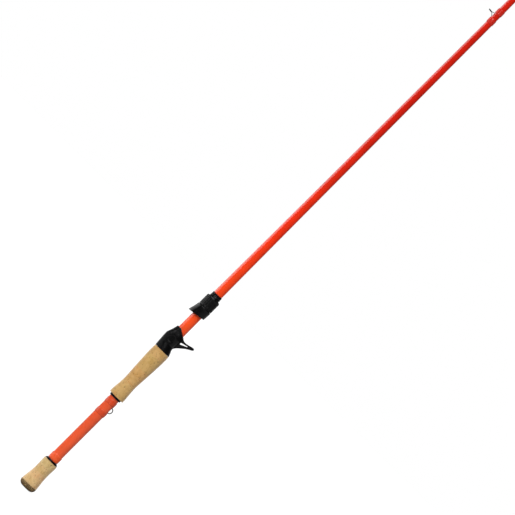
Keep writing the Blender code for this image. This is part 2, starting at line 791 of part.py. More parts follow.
def make_flutes():
    """The finger flutes round the nut, as one cutter."""
    low, high = NUT_FLUTE_SPAN
    flutes = bmesh.new()
    for i in range(NUT_FLUTES):
        angle = math.tau * (i + 0.5) / NUT_FLUTES
        rod = bmesh.ops.create_cone(
            flutes,
            cap_ends=True,
            segments=6,
            radius1=NUT_FLUTE_RADIUS,
            radius2=NUT_FLUTE_RADIUS,
            depth=high - low,
        )
        reach = NUT_RADIUS + NUT_FLUTE_RADIUS * 0.25
        place = Vector((reach * math.cos(angle), reach * math.sin(angle), (low + high) / 2))
        bmesh.ops.translate(flutes, verts=rod["verts"], vec=place)
    mesh = bpy.data.meshes.new("nut_flutes")
    flutes.to_mesh(mesh)
    flutes.free()
    return new_object("nut_flutes", mesh)


def ride(obj, axis):
    """Parents a piece to the empty on its joint's axis, and keeps it where it is."""
    bpy.context.view_layer.update()
    placed = obj.matrix_world.copy()
    obj.parent = axis
    obj.matrix_parent_inverse = axis.matrix_world.inverted()
    obj.matrix_world = placed


def joint_axis(name, z):
    empty = bpy.data.objects.new(name, None)
    empty.location = (0, 0, z)
    empty.empty_display_size = 0.02
    ROD.objects.link(empty)
    bpy.context.view_layer.update()
    return empty


def make_ring(name, height, z, radius, tilt):
    """The polished ceramic ring inside a guide's band."""
    outer = radius - RING_BAND - RING_CLEARANCE
    inner = outer * RING_OPEN
    half = RING_LENGTH / 2
    middle = (inner + outer) / 2
    profile = [
        (middle, half),
        (outer, RING_BAND_LENGTH * 0.4),
        (outer, -RING_BAND_LENGTH * 0.4),
        (middle, -half),
        (inner, -half * 0.4),
        (inner, half * 0.4),
    ]
    place = {"location": (-height, 0, z), "rotation": (0, -tilt, 0)}
    turned(name, profile, "ring_ceramic", RING_SIDES, **place)


def make_band(name, height, z, radius, tilt):
    """The part of a guide's frame that goes round its ring."""
    half = RING_BAND_LENGTH / 2
    inner = radius - RING_BAND
    place = {"location": (-height, 0, z), "rotation": (0, -tilt, 0)}
    return tube(name, -half, half, inner, radius, "guide_black", sides=RING_SIDES, **place)


def foot_and_leg(near, far, z_ring, height, radius, back):
    """The side outline of a foot on the blank and the leg up to the ring. back is -1 for a rear foot."""
    z_near = z_ring + back * near
    z_far = z_ring + back * far
    low_near = blank_radius(z_near) + THREAD_GAP
    low_far = blank_radius(z_far) + THREAD_GAP
    high_near = low_near + FOOT_THICKNESS
    high_far = low_far + FOOT_THICKNESS
    meet = height - radius + RING_BAND * 0.7
    inside = z_ring + back * (-LEG_THICKNESS * 0.2)
    outside = z_ring + back * (LEG_THICKNESS * 0.7)
    points = [
        (low_far, z_far),
        (low_near, z_near - back * LEG_THICKNESS),
        (meet, inside),
        (meet, outside),
        (high_near, z_near + back * LEG_THICKNESS * 0.2),
        (high_far, z_far),
    ]
    return [(-u, z) for u, z in points]


def foot_half_width(z):
    return FOOT_HALF_WIDTH + FOOT_SPREAD * blank_radius(z)


def add_foot(frame, z, height, radius, back, near):
    """Joins one foot and leg to a guide's frame, and gives the heights where the foot starts and ends."""
    far = near + FOOT_LENGTH
    outline = foot_and_leg(near, far, z, height, radius, back)
    half = foot_half_width(z)
    name = frame.name.removesuffix("_frame")
    leg = plate(f"{name}_leg_{'front' if back > 0 else 'rear'}", [outline], 2 * half)
    combine(frame, leg, "UNION")
    return z + back * near, z + back * far


def wrap_foot(name, foot):
    """Thread over a foot that starts and ends at the given heights. Its first millimetre stays bare."""
    start, end = foot
    way = math.copysign(1, end - start)
    low, high = sorted((start + way * FOOT_BARE, end + way * WRAP_MARGIN))
    groove = sorted((start, end + way * GAP))
    depth = 2 * THREAD_GAP + FOOT_THICKNESS
    channel = (-1, foot_half_width(start) + THREAD_GAP, depth, *groove)
    make_wrap(name, low, high, WRAP_WALL, channel)


def make_stripper():
    """The first guide from the reel, with a foot behind its ring and a foot in front."""
    where = (STRIPPER_HEIGHT, STRIPPER_Z, STRIPPER_RADIUS, STRIPPER_TILT)
    frame = make_band("stripper_guide_frame", *where)
    place = (STRIPPER_Z, STRIPPER_HEIGHT, STRIPPER_RADIUS)
    rear = add_foot(frame, *place, -1, STRIPPER_LEGS[0])
    front = add_foot(frame, *place, 1, STRIPPER_LEGS[1])
    settle(frame)
    make_ring("stripper_guide_ring", *where)
    wrap_foot("stripper_guide_wrap_rear", rear)
    wrap_foot("stripper_guide_wrap_front", front)


def runner_heights():
    """Heights of the runner guides. Their spacing grows evenly from the tip to the stripper."""
    total = ROD_LENGTH - STRIPPER_Z
    low, high = 1.0, 1.5
    for _ in range(40):
        growth = (low + high) / 2
        if FIRST_SPACING * sum(growth**k for k in range(RUNNERS + 1)) > total:
            high = growth
        else:
            low = growth
    heights = []
    z = ROD_LENGTH
    for k in range(RUNNERS):
        z -= FIRST_SPACING * growth**k
        heights.append(z)
    return heights[::-1]


def make_runners():
    """The single-foot guides between the stripper and the tip-top, numbered from the stripper."""
    for i, z in enumerate(runner_heights()):
        share = i / (RUNNERS - 1)
        radius = FIRST_RUNNER_RADIUS + (LAST_RUNNER_RADIUS - FIRST_RUNNER_RADIUS) * share
        height = blank_radius(z) + RUNNER_CLEARANCE + radius
        name = f"runner_guide_{i + 1}"
        frame = make_band(f"{name}_frame", height, z, radius, STRIPPER_TILT)
        foot = add_foot(frame, z, height, radius, -1, RUNNER_LEG)
        settle(frame)
        make_ring(f"{name}_ring", height, z, radius, STRIPPER_TILT)
        wrap_foot(f"{name}_wrap", foot)


def make_tip_top():
    """The tube that is glued on the blank's end, with its ring, two struts and a wrap behind it."""
    low = ROD_LENGTH - TIP_TUBE[0]
    high = ROD_LENGTH - TIP_TUBE[1]
    z = high - RING_BAND_LENGTH / 2
    frame = make_band("tip_top_frame", TIP_RING_HEIGHT, z, TIP_RADIUS, STRIPPER_TILT)
    sleeve = tube("tip_top_sleeve", low, high, TIP_TUBE_BORE, TIP_TUBE_RADIUS, sides=RING_SIDES)
    clear = TIP_RADIUS - RING_BAND
    combine(frame, sleeve, "UNION")
    for side in (-1, 1):
        start = (-TIP_RING_HEIGHT, side * (TIP_RADIUS - RING_BAND / 2), z - 0.0002)
        end = (-TIP_TUBE_RADIUS * 0.5, side * TIP_TUBE_RADIUS * 0.8, low + 0.004)
        strut = wire(f"tip_top_strut_{side + 2}", [start, end], TIP_STRUT_WIRE)
        combine(frame, strut, "UNION")
    place = {"location": (-TIP_RING_HEIGHT, 0, z), "rotation": (0, -STRIPPER_TILT, 0)}
    hole = tube("tip_top_clearance", -0.002, 0.002, 0.0002, clear, sides=RING_SIDES, **place)
    combine(frame, hole, "DIFFERENCE")
    settle(frame)
    make_ring("tip_top_ring", TIP_RING_HEIGHT, z, TIP_RADIUS, STRIPPER_TILT)
    start, end = (ROD_LENGTH - back for back in TIP_WRAP)
    make_wrap("tip_top_wrap", start, end, TIP_TUBE_RADIUS - blank_radius(end))


def build():
    make_blank()
    make_butt_cap()
    make_grip("rear", REAR_GRIP, REAR_GRIP_RINGS, REAR_GRIP_SHAPE)
    make_grip("front", FRONT_GRIP, FRONT_GRIP_RINGS, FRONT_GRIP_SHAPE)
    make_checks()
    make_hook_keeper()
    make_seat()
    make_barrel()
    slide = joint_axis("hood_slide_axis", HOOD_SECTIONS[0][0])
    spin = joint_axis("nut_spin_axis", NUT[0])
    make_hood(slide)
    make_nut(spin)
    ride(spin, slide)
    make_stripper()
    make_runners()
    make_tip_top()


build()
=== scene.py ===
"""Looks of the casting rod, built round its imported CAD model.

Metres. +Z runs from the butt to the tip, -X is the side of the reel and the guides, and +X is the
side of the trigger. Every turned piece has the rod's axis, x = y = 0, as its own.
"""

import json
import math
import random

import bmesh
import bpy
import numpy as np
from mathutils import Matrix, Vector, noise


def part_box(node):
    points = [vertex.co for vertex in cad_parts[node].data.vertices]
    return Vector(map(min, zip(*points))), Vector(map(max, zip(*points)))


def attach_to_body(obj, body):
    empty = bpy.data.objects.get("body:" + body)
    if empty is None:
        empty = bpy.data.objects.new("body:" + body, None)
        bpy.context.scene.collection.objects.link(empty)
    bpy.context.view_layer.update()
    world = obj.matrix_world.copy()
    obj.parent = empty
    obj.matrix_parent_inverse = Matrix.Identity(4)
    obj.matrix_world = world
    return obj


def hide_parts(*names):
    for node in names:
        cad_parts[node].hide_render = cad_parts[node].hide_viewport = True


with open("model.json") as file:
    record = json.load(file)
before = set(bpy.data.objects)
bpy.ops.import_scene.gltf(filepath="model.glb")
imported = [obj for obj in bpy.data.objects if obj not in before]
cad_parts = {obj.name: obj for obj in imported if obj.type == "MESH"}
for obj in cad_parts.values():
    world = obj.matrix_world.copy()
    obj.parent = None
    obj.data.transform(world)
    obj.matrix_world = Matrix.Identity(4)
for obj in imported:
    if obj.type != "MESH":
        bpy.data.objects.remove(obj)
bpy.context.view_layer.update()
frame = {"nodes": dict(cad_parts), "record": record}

BEHAVIOUR = frame["record"]["behaviour"]
BODY_OF = {node: body for body, nodes in BEHAVIOUR["bodies"].items() for node in nodes}

MM = 0.001
FINE = "_fine"  # ends the name of a piece that stands for a CAD node
PAST = 20 * MM  # how far from the axis, or past an end, a cutter reaches
GLUED = 0.05 * MM  # between the blank and a piece that is glued on it

# Blank and butt cap
BLANK_WALL = 0.9 * MM
BLANK_BORE = 0.5  # the least bore, as a share of the blank's radius
CAP_FLAT = 6.0 * MM  # radius of the cap's flat end
CAP_SOCKET = 4.0 * MM  # depth
CAP_GRAINS = 700  # to the metre
CAP_GRAIN_HEIGHT = 0.06 * MM

# Grips and winding checks
CORK_GLUE = 0.07 * MM  # how far a ring reaches into the glue line at each end
CORK_EDGE = 0.16 * MM
PIT_LENGTHS = (0.5, 0.8, 1.3, 2.2)  # in millimetres
PIT_DEPTH = 0.28 * MM
REAR_CHECK_NARROW = 8.6 * MM
REAR_CHECK_STEP = 0.6 * MM
CHECK_GROOVE = (0.9, 1.1, 1.3, 1.5)  # heights of the groove's corners, in millimetres
CHECK_GROOVE_DEPTH = 0.25 * MM
CHECK_CHAMFER = 0.6 * MM

# Thread wraps
WRAP_PITCH = 0.24 * MM
WRAP_RIDGE = 0.012 * MM
WRAP_LEAD = 1.1 * MM  # over which a wrap grows to its full thickness
WRAP_BED = 0.02 * MM  # between the blank and a wrap

# Reel seat. A section, in millimetres, has its height over the rear end, its reach to the reel's side
# and to the trigger's side, its half width and its squareness, where 2 is an ellipse.
SEAT_SECTIONS = (
    (0.0, 13.15, 13.00, 13.00, 2.05),
    (4.8, 13.50, 11.20, 12.50, 2.20),
    (8.8, 13.80, 9.20, 12.05, 2.35),
    (12.3, 14.10, 8.80, 11.65, 2.50),
    (18.8, 14.50, 9.40, 11.30, 3.00),
    (25.2, 14.60, 10.00, 11.10, 4.20),
    (29.8, 13.00, 10.00, 10.80, 3.90),
    (34.0, 11.90, 9.80, 10.40, 3.70),
    (40.8, 10.40, 9.40, 9.85, 3.60),
)
SEAT_SLANT_START = -2.8 * MM  # x where the slanted front begins
SEAT_SLANT = -6.4 / 9.8  # its rise for each step towards the trigger
FOOT_DECK = 8.65 * MM  # from the axis to the face that the reel's foot rests on
FOOT_WIDTH = 13.6 * MM
POCKET_SIDE = 1.4 * MM  # wall beside either pocket
SEAT_ROOF = 0.8 * MM  # wall over the fixed hood's pocket
SEAT_POCKET_FLOOR = 13.3 * MM
SEAT_POCKET_MOUTH = 25.0 * MM
SEAT_LIP = 9.0 * MM  # length of the bore's tight front end
SEAT_LIP_GAP = 0.06 * MM
SEAT_LIP_HEIGHT = 0.6 * MM
REST_MIDDLE = (-2.0, 21.5)  # of the thumb's rest, as x and height, in millimetres
REST_INSIDE = 8.0 * MM  # nearer to the middle than this, nothing is pressed
REST_RADIUS = 6.4 * MM
REST_DEPTH = 0.14 * MM
REST_EDGE = 2.2 * MM

# Trigger, as (x, height over the seat's rear end), in millimetres
TRIGGER_REAR = ((8.4, 11.5), (11.1, 15.4), (15.2, 19.4), (22.2, 25.0), (29.7, 29.4))
TRIGGER_TIP = (29.7, 31.4)
TRIGGER_TIP_RADIUS = 1.5
TRIGGER_TIP_ARC = 1.2  # radians to each side of straight out
TRIGGER_FRONT = ((29.0, 33.3), (25.5, 32.7), (19.7, 31.1), (14.4, 30.6), (10.8, 31.8), (8.9, 33.4))
TRIGGER_ROOT = ((4.0, 33.4), (4.0, 11.5))
WINDOW_REAR = ((10.9, 23.5), (15.4, 25.5), (21.6, 28.3))
WINDOW_FRONT = ((21.7, 29.1), (15.9, 27.7), (10.9, 26.4))
TRIGGER_WIDTH = 8.4 * MM
TRIGGER_NARROWS = (8.0 * MM, 22.9 * MM, 0.333)  # from this x, over this length, by this share
TRIGGER_ROUNDING = 0.9 * MM

# Threaded barrel
BARREL_ROOT = 8.0 * MM
BARREL_CREST = 8.55 * MM
SCREW_PITCH = 2.5 * MM
SCREW_TURNS = 8
SCREW_START = 13.5 * MM  # over the barrel's rear end
KEYWAY_FLOOR = 7.75 * MM
KEYWAY_HALF = 1.4 * MM
KEYWAY_END = 1.6 * MM  # from the barrel's front end
END_RING_LAP = 0.25 * MM  # how far the end ring reaches back towards the barrel

# Sliding hood. A section is as the seat's, over the peak of the rear edge.
HOOD_SECTIONS = (
    (0.0, 15.32, 10.70, 11.55, 2.25),
    (4.0, 14.40, 10.95, 11.45, 2.25),
    (8.1, 13.25, 11.20, 11.35, 2.25),
    (12.3, 12.40, 11.45, 11.25, 2.25),
    (16.6, 11.75, 11.45, 11.25, 2.25),
)
HOOD_LEAN = 3.7 / 26.2  # rise of the rear edge for each step from the reel's side
HOOD_PEAK = -15.3 * MM  # x where the lean starts
HOOD_DECK = 8.95 * MM
HOOD_ROOF = 0.7 * MM
HOOD_MOUTH = 2.0 * MM  # how far the pocket's cutter runs out of the hood
HOOD_POCKET_END = 11.8 * MM
HOOD_BORE = 8.7 * MM
SKIRT_RADII = (8.5 * MM, 9.55 * MM)
SKIRT_LAP = 0.8 * MM
KEY_REACH = (8.1 * MM, 9.5 * MM)
KEY_SPAN = (8.3 * MM, 14.8 * MM)  # over the hood's rear edge
KEY_WIDTH = 2.4 * MM

# Locking nut
NUT_RADIUS = 11.2 * MM
NUT_CHAMFER = 1.3 * MM
NUT_SEAT_RADIUS = 9.75 * MM  # round the hood's skirt
NUT_LAND_RADIUS = 8.3 * MM
NUT_LAND = (3.4 * MM, 10.9 * MM)  # the threaded stretch, over the rear end
NUT_FRONT_BORE = 8.95 * MM
NUT_FRONT = 11.5 * MM
NUT_FLUTES = 20
NUT_FLUTE_DEPTH = 0.55 * MM
NUT_COLLARS = (2.2 * MM, 2.5 * MM)  # plain stretches at the rear end and the front end
NUT_FLUTE_RUNOUT = 0.9 * MM
NUT_THREAD_DEPTH = 0.55 * MM

# Hook keeper
KEEPER_WIRE = 0.70 * MM
KEEPER_FOOT = 0.18 * MM
KEEPER_LOOP = 4.2 * MM  # half of the loop's length
KEEPER_REST = 0.35 * MM  # from the blank to the middle of the feet

# Guides and tip-top
GUIDE_TILT = math.radians(-8)  # the far side of every ring leans towards the tip
RING_HALF = 0.95 * MM
RING_OPEN = 0.70  # a ring's inner radius as a share of its outer one
HOOP_HALF = 0.75 * MM
HOOP_GAP = 0.02 * MM
STRIPPER_HEELS = (4.6 * MM, 1.6 * MM)  # from the ring to the heels of the rear and front legs
RUNNER_HEEL = 3.0 * MM
GUIDE_FOOT = 9.0 * MM  # length of a foot under its wrap
TIP_TUBE = (1.15 * MM, 1.5 * MM)  # inner and outer radius
TIP_TUBE_END = 0.1 * MM  # below the frame's highest point
TIP_BRACE = 0.3 * MM
TIP_OPENING = 2.0 * MM

# Studio
SUNS = (  # name, where it stands, strength, spread in degrees, whether gloss shows it
    ("front", (-0.20, -1.0, 0.85), 2.9, 50, True),
    ("top", (-0.15, 0.2, 1.0), 0.5, 30, True),
    ("back_right", (0.42, 1.0, 0.45), 2.2, 30, False),
    ("back_left", (-0.80, 1.0, 0.55), 1.6, 30, False),
)
SUN_DISTANCE = 5.0
STRIP_TOWARDS = (-0.985, 0.17, 0.0)
STRIP_STRENGTH = 2.9
BACKDROP_STRENGTH = 0.25
ROOM_STRENGTH = 0.05
FLOOR_HALF = 60.0
FLOOR_DROP = 0.05 * MM
FLOOR_GLOW = 0.75
CAMERA_DISTANCE = 12.0
CAMERA_CENTRE = (0.0022, 0.4578)  # x and z
VIEW_WIDTH = 0.721
SENSOR_WIDTH = 36.0  # in millimetres, as the camera counts it


# ---- Shader nodes ----


def node(near, kind, inputs=None, **settings):
    """A shader node in the tree of another node or output. An input is an output, or a plain value."""
    made = near.id_data.nodes.new(kind)
    for key, value in settings.items():
        setattr(made, key, value)
    for key, value in (inputs or {}).items():
        socket = made.inputs[key]
        if isinstance(value, bpy.types.NodeSocket):
            near.id_data.links.new(value, socket)
        else:
            socket.default_value = (*value, 1.0) if socket.type == "RGBA" else value
    return made


def new_look(name, values):
    """A material and its Principled shader, with these socket values."""
    made = bpy.data.materials.new(name)
    made.use_nodes = True
    shader = made.node_tree.nodes["Principled BSDF"]
    for key, value in values.items():
        shader.inputs[key].default_value = value
    return made, shader


def attach(shader, **sockets):
    """Links outputs to the sockets with these names, where _ stands for a space."""
    for name, value in sockets.items():
        shader.id_data.links.new(value, shader.inputs[name.replace("_", " ")])


def place(shader, scale=(1, 1, 1), turn=0.0, shift=(0, 0, 0)):
    """Coordinates in metres, shifted, turned about the rod's axis and scaled."""
    where = node(shader, "ShaderNodeTexCoord").outputs["Object"]
    moved = {"Vector": where, "Location": shift, "Rotation": (0, 0, turn), "Scale": scale}
    return node(where, "ShaderNodeMapping", moved).outputs["Vector"]


def coordinate(where, axis="Z"):
    return node(where, "ShaderNodeSeparateXYZ", {"Vector": where}).outputs[axis]


def cloud(where, scale, detail=3.0, roughness=0.5, distortion=0.0):
    inputs = {"Vector": where, "Scale": scale, "Detail": detail}
    inputs |= {"Roughness": roughness, "Distortion": distortion}
    return node(where, "ShaderNodeTexNoise", inputs).outputs["Fac"]


def cells(where, scale, output="Distance", feature="F1"):
    inputs = {"Vector": where, "Scale": scale}
    return node(where, "ShaderNodeTexVoronoi", inputs, feature=feature).outputs[output]


def calc(operation, a, b=0.0, clamp=False):
    made = node(a, "ShaderNodeMath", {0: a, 1: b}, operation=operation, use_clamp=clamp)
    return made.outputs["Value"]


def spread(value, low, high, to_low=0.0, to_high=1.0):
    """Value from low to high, mapped to to_low to to_high and clamped there."""
    inputs = {"Value": value, "From Min": low, "From Max": high}
    inputs |= {"To Min": to_low, "To Max": to_high}
    return node(value, "ShaderNodeMapRange", inputs).outputs["Result"]


def ramp(value, *stops):
    """Colour from (position, (red, green, blue)) stops."""
    made = node(value, "ShaderNodeValToRGB", {"Fac": value})
    elements = made.color_ramp.elements
    while len(elements) < len(stops):
        elements.new(0.5)
    for element, (position, colour) in zip(elements, stops):
        element.position = position
        element.color = (*colour, 1.0)
    return made.outputs["Color"]


def mix(share, a, b, blend="MIX"):
    """Colour a with colour b laid over it. At least one of the three is an output."""
    near = next(value for value in (share, a, b) if isinstance(value, bpy.types.NodeSocket))
    inputs = {0: share, 6: a, 7: b}
    return node(near, "ShaderNodeMix", inputs, data_type="RGBA", blend_type=blend).outputs[2]


def bump(height, depth):
    """A normal from a height of 0 to 1 that stands for depth metres."""
    return node(height, "ShaderNodeBump", {"Height": height, "Distance": depth}).outputs["Normal"]


# ---- Materials ----


def blank_look():
    """Opaque orange paint under a thick clear coat. The colour along it is painted light and shade:
    brightest by the reel seat, darker and redder towards the tip.
    """
    values = {"Specular IOR Level": 0.0, "Coat Weight": 1.0, "Coat Roughness": 0.05}
    made, shader = new_look("orange_paint", values)
    where = place(shader)
    low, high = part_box("blank")
    # painted light and shade: these colours along the blank are brightest by the reel seat and darker
    # and redder towards the tip
    stops = (  # share of the blank's length, and colour
        (0.0, (0.84, 0.095, 0.022)),
        (0.08, (0.80, 0.085, 0.018)),
        (0.15, (0.97, 0.088, 0.016)),
        (0.23, (0.91, 0.036, 0.007)),
        (0.33, (0.67, 0.015, 0.005)),
        (1.0, (0.64, 0.018, 0.005)),
    )
    paint = ramp(spread(coordinate(where), low.z, high.z), *stops)
    mottle = spread(cloud(where, 55.0, 4.0), 0.35, 0.65, 0.93, 1.05)
    tint = node(shader, "ShaderNodeCombineXYZ", {0: mottle, 1: mottle, 2: mottle}).outputs["Vector"]
    peel = cloud(where, 700.0, 2.0)
    dust = spread(cloud(where, 130.0, 6.0, 0.7), 0.4, 0.75, 0.32, 0.46)
    paint = mix(1.0, paint, tint, "MULTIPLY")
    attach(shader, Base_Color=paint, Roughness=dust, Normal=bump(peel, 0.012 * MM))
    return made


def wrap_look(name, deep, light):
    """Nylon thread laid side by side under epoxy, glassy on top. Its fine lines round the rod are
    painted light and shade, lighter on each thread's crown and darker between threads, over patches of
    the thread's own tone.
    """
    values = {"Roughness": 0.5, "Specular IOR Level": 0.1, "Coat Weight": 0.6, "Coat Roughness": 0.08}
    made, shader = new_look(name, values)
    where = place(shader)
    phase = calc("MULTIPLY", coordinate(where), math.tau / WRAP_PITCH)
    wander = calc("MULTIPLY", cloud(where, 260.0, 2.0), 2.0)
    line = calc("SINE", calc("ADD", phase, wander))
    # painted light and shade: lighter on each thread's crown, darker in the groove between threads; the
    # patches added below are the thread's own tone
    shade = spread(line, -1.0, 1.0)
    patch = cloud(where, 420.0, 3.0)
    tone = calc("ADD", calc("MULTIPLY", shade, 0.55), calc("MULTIPLY", patch, 0.5))
    body = ramp(tone, (0.15, deep), (0.85, light))
    attach(shader, Base_Color=body, Normal=bump(shade, 0.010 * MM))
    return made


def cork_look(name, turn, shift, tone):
    """Natural cork: growth bands, patches, specks and the dark pits that the mesh carries.

    tone is the (red, green, blue) share of the palest cork's colours.
    """
    values = {"Roughness": 0.8, "Specular IOR Level": 0.3, "Sheen Weight": 0.60, "Sheen Roughness": 0.4}
    made, shader = new_look(name, values)
    where = place(shader, turn=turn, shift=(0, 0, shift))
    palest = ((0.61, 0.39, 0.150), (0.72, 0.50, 0.235), (0.63, 0.350, 0.135))
    middle, light, warm = ([c * t for c, t in zip(colour, tone)] for colour in palest)
    patches = cloud(where, 85.0, 4.0, 0.6, 0.6)
    body = ramp(patches, (0.32, middle), (0.55, light), (0.72, warm))

    banded = place(shader, scale=(620, 90, 60), turn=turn, shift=(0, 0, shift))
    bands = cloud(banded, 1.0, 3.0, 0.6, 1.2)
    body = mix(spread(bands, 0.50, 0.72, 0.0, 0.30), body, (0.36, 0.20, 0.075))
    grain = cloud(where, 1500.0, 3.0, 0.7)
    body = mix(spread(grain, 0.52, 0.78, 0.0, 0.40), body, (0.40, 0.235, 0.095))
    specks = calc("LESS_THAN", cells(where, 620.0), 0.22)
    few = spread(cloud(where, 190.0, 2.0), 0.50, 0.60)
    speck = calc("MULTIPLY", specks, few)
    body = mix(calc("MULTIPLY", speck, 0.7), body, (0.16, 0.085, 0.035))
    pit = node(shader, "ShaderNodeAttribute", attribute_name="pit").outputs["Fac"]
    body = mix(spread(pit, 0.10, 0.75), body, (0.085, 0.045, 0.022))

    rough = spread(grain, 0.3, 0.7, 0.70, 0.92)
    low = calc("SUBTRACT", grain, calc("MULTIPLY", speck, 1.5))
    attach(shader, Base_Color=body, Roughness=rough, Normal=bump(low, 0.07 * MM))
    return made


def rubber_cork_look():
    """Ground cork in dark rubber: grains of many browns with black between them."""
    made, shader = new_look("rubber_cork_blend", {"Roughness": 0.8, "Specular IOR Level": 0.3})
    where = place(shader)
    warp = node(shader, "ShaderNodeTexNoise", {"Vector": where, "Scale": 500.0}).outputs["Color"]
    nudged = {0: 0.0009, 4: where, 5: warp}  # the share of the warp, and the two vectors
    bent = node(shader, "ShaderNodeMix", nudged, data_type="VECTOR").outputs[1]
    grains = cells(bent, 720.0, "Color")
    pick = node(shader, "ShaderNodeSeparateColor", {"Color": grains}).outputs["Red"]
    stops = (
        (0.0, (0.14, 0.086, 0.036)),
        (0.3, (0.24, 0.150, 0.060)),
        (0.6, (0.36, 0.230, 0.092)),
        (0.9, (0.50, 0.330, 0.140)),
    )
    body = ramp(pick, *stops)
    edge = cells(bent, 720.0, feature="DISTANCE_TO_EDGE")
    between = spread(edge, 0.03, 0.16, 1.0, 0.0)
    body = mix(calc("MULTIPLY", between, 0.75), body, (0.035, 0.024, 0.016))
    fine = cloud(where, 2600.0, 2.0)
    body = mix(spread(fine, 0.5, 0.75, 0.0, 0.35), body, (0.05, 0.032, 0.02))
    rough = spread(fine, 0.3, 0.7, 0.68, 0.92)
    low = calc("ADD", calc("MULTIPLY", edge, 2.0, True), calc("MULTIPLY", fine, 0.4))
    attach(shader, Base_Color=body, Roughness=rough, Normal=bump(low, 0.09 * MM))
    return made


def moulding_look():
    """Satin black moulded plastic with a fine even texture and a few handling marks."""
    made, shader = new_look("black_moulding", {"Specular IOR Level": 0.28})
    where = place(shader)
    drift = cloud(where, 160.0, 4.0, 0.6)
    body = ramp(drift, (0.3, (0.0014, 0.0015, 0.0016)), (0.7, (0.0026, 0.0027, 0.0029)))
    marks = cloud(place(shader, scale=(900, 900, 140)), 1.0, 5.0, 0.7)
    satin = spread(drift, 0.3, 0.7, 0.15, 0.22)
    rough = calc("ADD", satin, spread(marks, 0.58, 0.8, 0.0, 0.10))
    fine = bump(cells(where, 2400.0), 0.006 * MM)
    attach(shader, Base_Color=body, Roughness=rough, Normal=fine)
    return made


def metal_look(name, colour, roughness, lines=0.0):
    """Plated or anodised metal. lines is how much the turning marks round the rod show."""
    made, shader = new_look(name, {"Metallic": 1.0, "Specular IOR Level": 0.5})
    where = place(shader)
    marks = cloud(place(shader, scale=(60, 60, 9000)), 1.0, 3.0)
    drift = cloud(where, 300.0, 4.0, 0.6)
    wear = cloud(where, 900.0, 5.0, 0.7)
    bright = [c * 2.2 + 0.01 for c in colour]
    body = ramp(drift, (0.3, [c * 0.85 for c in colour]), (0.7, [c * 1.15 for c in colour]))
    body = mix(spread(wear, 0.66, 0.80, 0.0, 0.5), body, bright)
    rough = spread(drift, 0.3, 0.7, roughness * 0.85, roughness * 1.2)
    turning = bump(marks, (0.001 + 0.008 * lines) * MM)
    attach(shader, Base_Color=body, Roughness=rough, Normal=turning)
    return made


def black_paint_look():
    """Black baked paint on the guides' frames and on the hook keeper's wire."""
    made, shader = new_look("black_paint", {"Specular IOR Level": 0.25})
    where = place(shader)
    drift = cloud(where, 600.0, 4.0, 0.6)
    body = ramp(drift, (0.3, (0.0020, 0.0020, 0.0022)), (0.7, (0.0045, 0.0045, 0.0048)))
    worn = spread(cloud(where, 1400.0, 5.0, 0.7), 0.62, 0.80, 0.0, 0.4)
    body = mix(worn, body, (0.030, 0.030, 0.032))
    rough = spread(drift, 0.3, 0.7, 0.32, 0.45)
    attach(shader, Base_Color=body, Roughness=rough, Normal=bump(drift, 0.01 * MM))
    return made


def ceramic_look():
    """Polished dark oxide ceramic."""
    values = {"Coat Weight": 0.2, "Coat Roughness": 0.02, "IOR": 1.6}
    made, shader = new_look("dark_ceramic", values)
    drift = cloud(place(shader), 900.0, 3.0)
    body = ramp(drift, (0.35, (0.004, 0.0045, 0.006)), (0.65, (0.009, 0.0095, 0.012)))
    attach(shader, Base_Color=body, Roughness=spread(drift, 0.3, 0.7, 0.06, 0.12))
    return made


def fibre_look():
    """Bare wound fibre of the arbor, seen only inside the seat's bore."""
    made, shader = new_look("wound_fibre", {"Roughness": 0.75})
    lines = cloud(place(shader, scale=(300, 300, 3000)), 1.0, 4.0)
    body = ramp(lines, (0.3, (0.34, 0.29, 0.19)), (0.7, (0.52, 0.46, 0.33)))
    attach(shader, Base_Color=body, Normal=bump(lines, 0.05 * MM))
    return made


# ---- Shapes ----


def show(name, data):
    """A new object in the scene."""
    obj = bpy.data.objects.new(name, data)
    bpy.context.scene.collection.objects.link(obj)
    return obj


def remove(obj):
    bpy.data.objects.remove(obj)


def evaluated(obj):
    """A new mesh of the object as its modifiers or its bevel leave it."""
    bpy.context.view_layer.update()
    graph = bpy.context.evaluated_depsgraph_get()
    return bpy.data.meshes.new_from_object(obj.evaluated_get(graph))


def settle(obj):
    """Turns the modifiers into the object's own mesh."""
    mesh = evaluated(obj)
    obj.modifiers.clear()
    obj.data = mesh
    return obj


def weld(mesh):
    """Joins the points that meet, and turns the faces outwards."""
    skin = bmesh.new()
    skin.from_mesh(mesh)
    bmesh.ops.remove_doubles(skin, verts=skin.verts, dist=1e-7)
    bmesh.ops.recalc_face_normals(skin, faces=skin.faces)
    skin.to_mesh(mesh)
    skin.free()


def as_mesh(obj):
    """The mesh object that replaces a curve object, with its caps welded."""
    mesh = evaluated(obj)
    mesh.transform(obj.matrix_world)
    weld(mesh)
    name = obj.name
    remove(obj)
    return show(name, mesh)


def points_of(obj):
    """The object's points as rows of an array."""
    co = np.empty(len(obj.data.vertices) * 3)
    obj.data.vertices.foreach_get("co", co)
    return co.reshape(-1, 3)


def from_rows(name, rows, loop=True):
    """A skin over rings of points. loop joins the last ring to the first."""
    rows = np.asarray(rows, float)
    count, sides = rows.shape[:2]
    faces = []
    for i in range(count if loop else count - 1):
        j = (i + 1) % count
        for k in range(sides):
            m = (k + 1) % sides
            faces.append((i * sides + k, i * sides + m, j * sides + m, j * sides + k))
    mesh = bpy.data.meshes.new(name)
    mesh.from_pydata(rows.reshape(-1, 3).tolist(), [], faces)
    weld(mesh)
    return show(name, mesh)


def capped(name, rows):
    """A closed skin over rings of points, with each end drawn in to its middle."""
    caps = [np.repeat(row.mean(axis=0)[None], len(row), axis=0) for row in (rows[0], rows[-1])]
    return from_rows(name, [caps[0], *rows, caps[1]], loop=False)


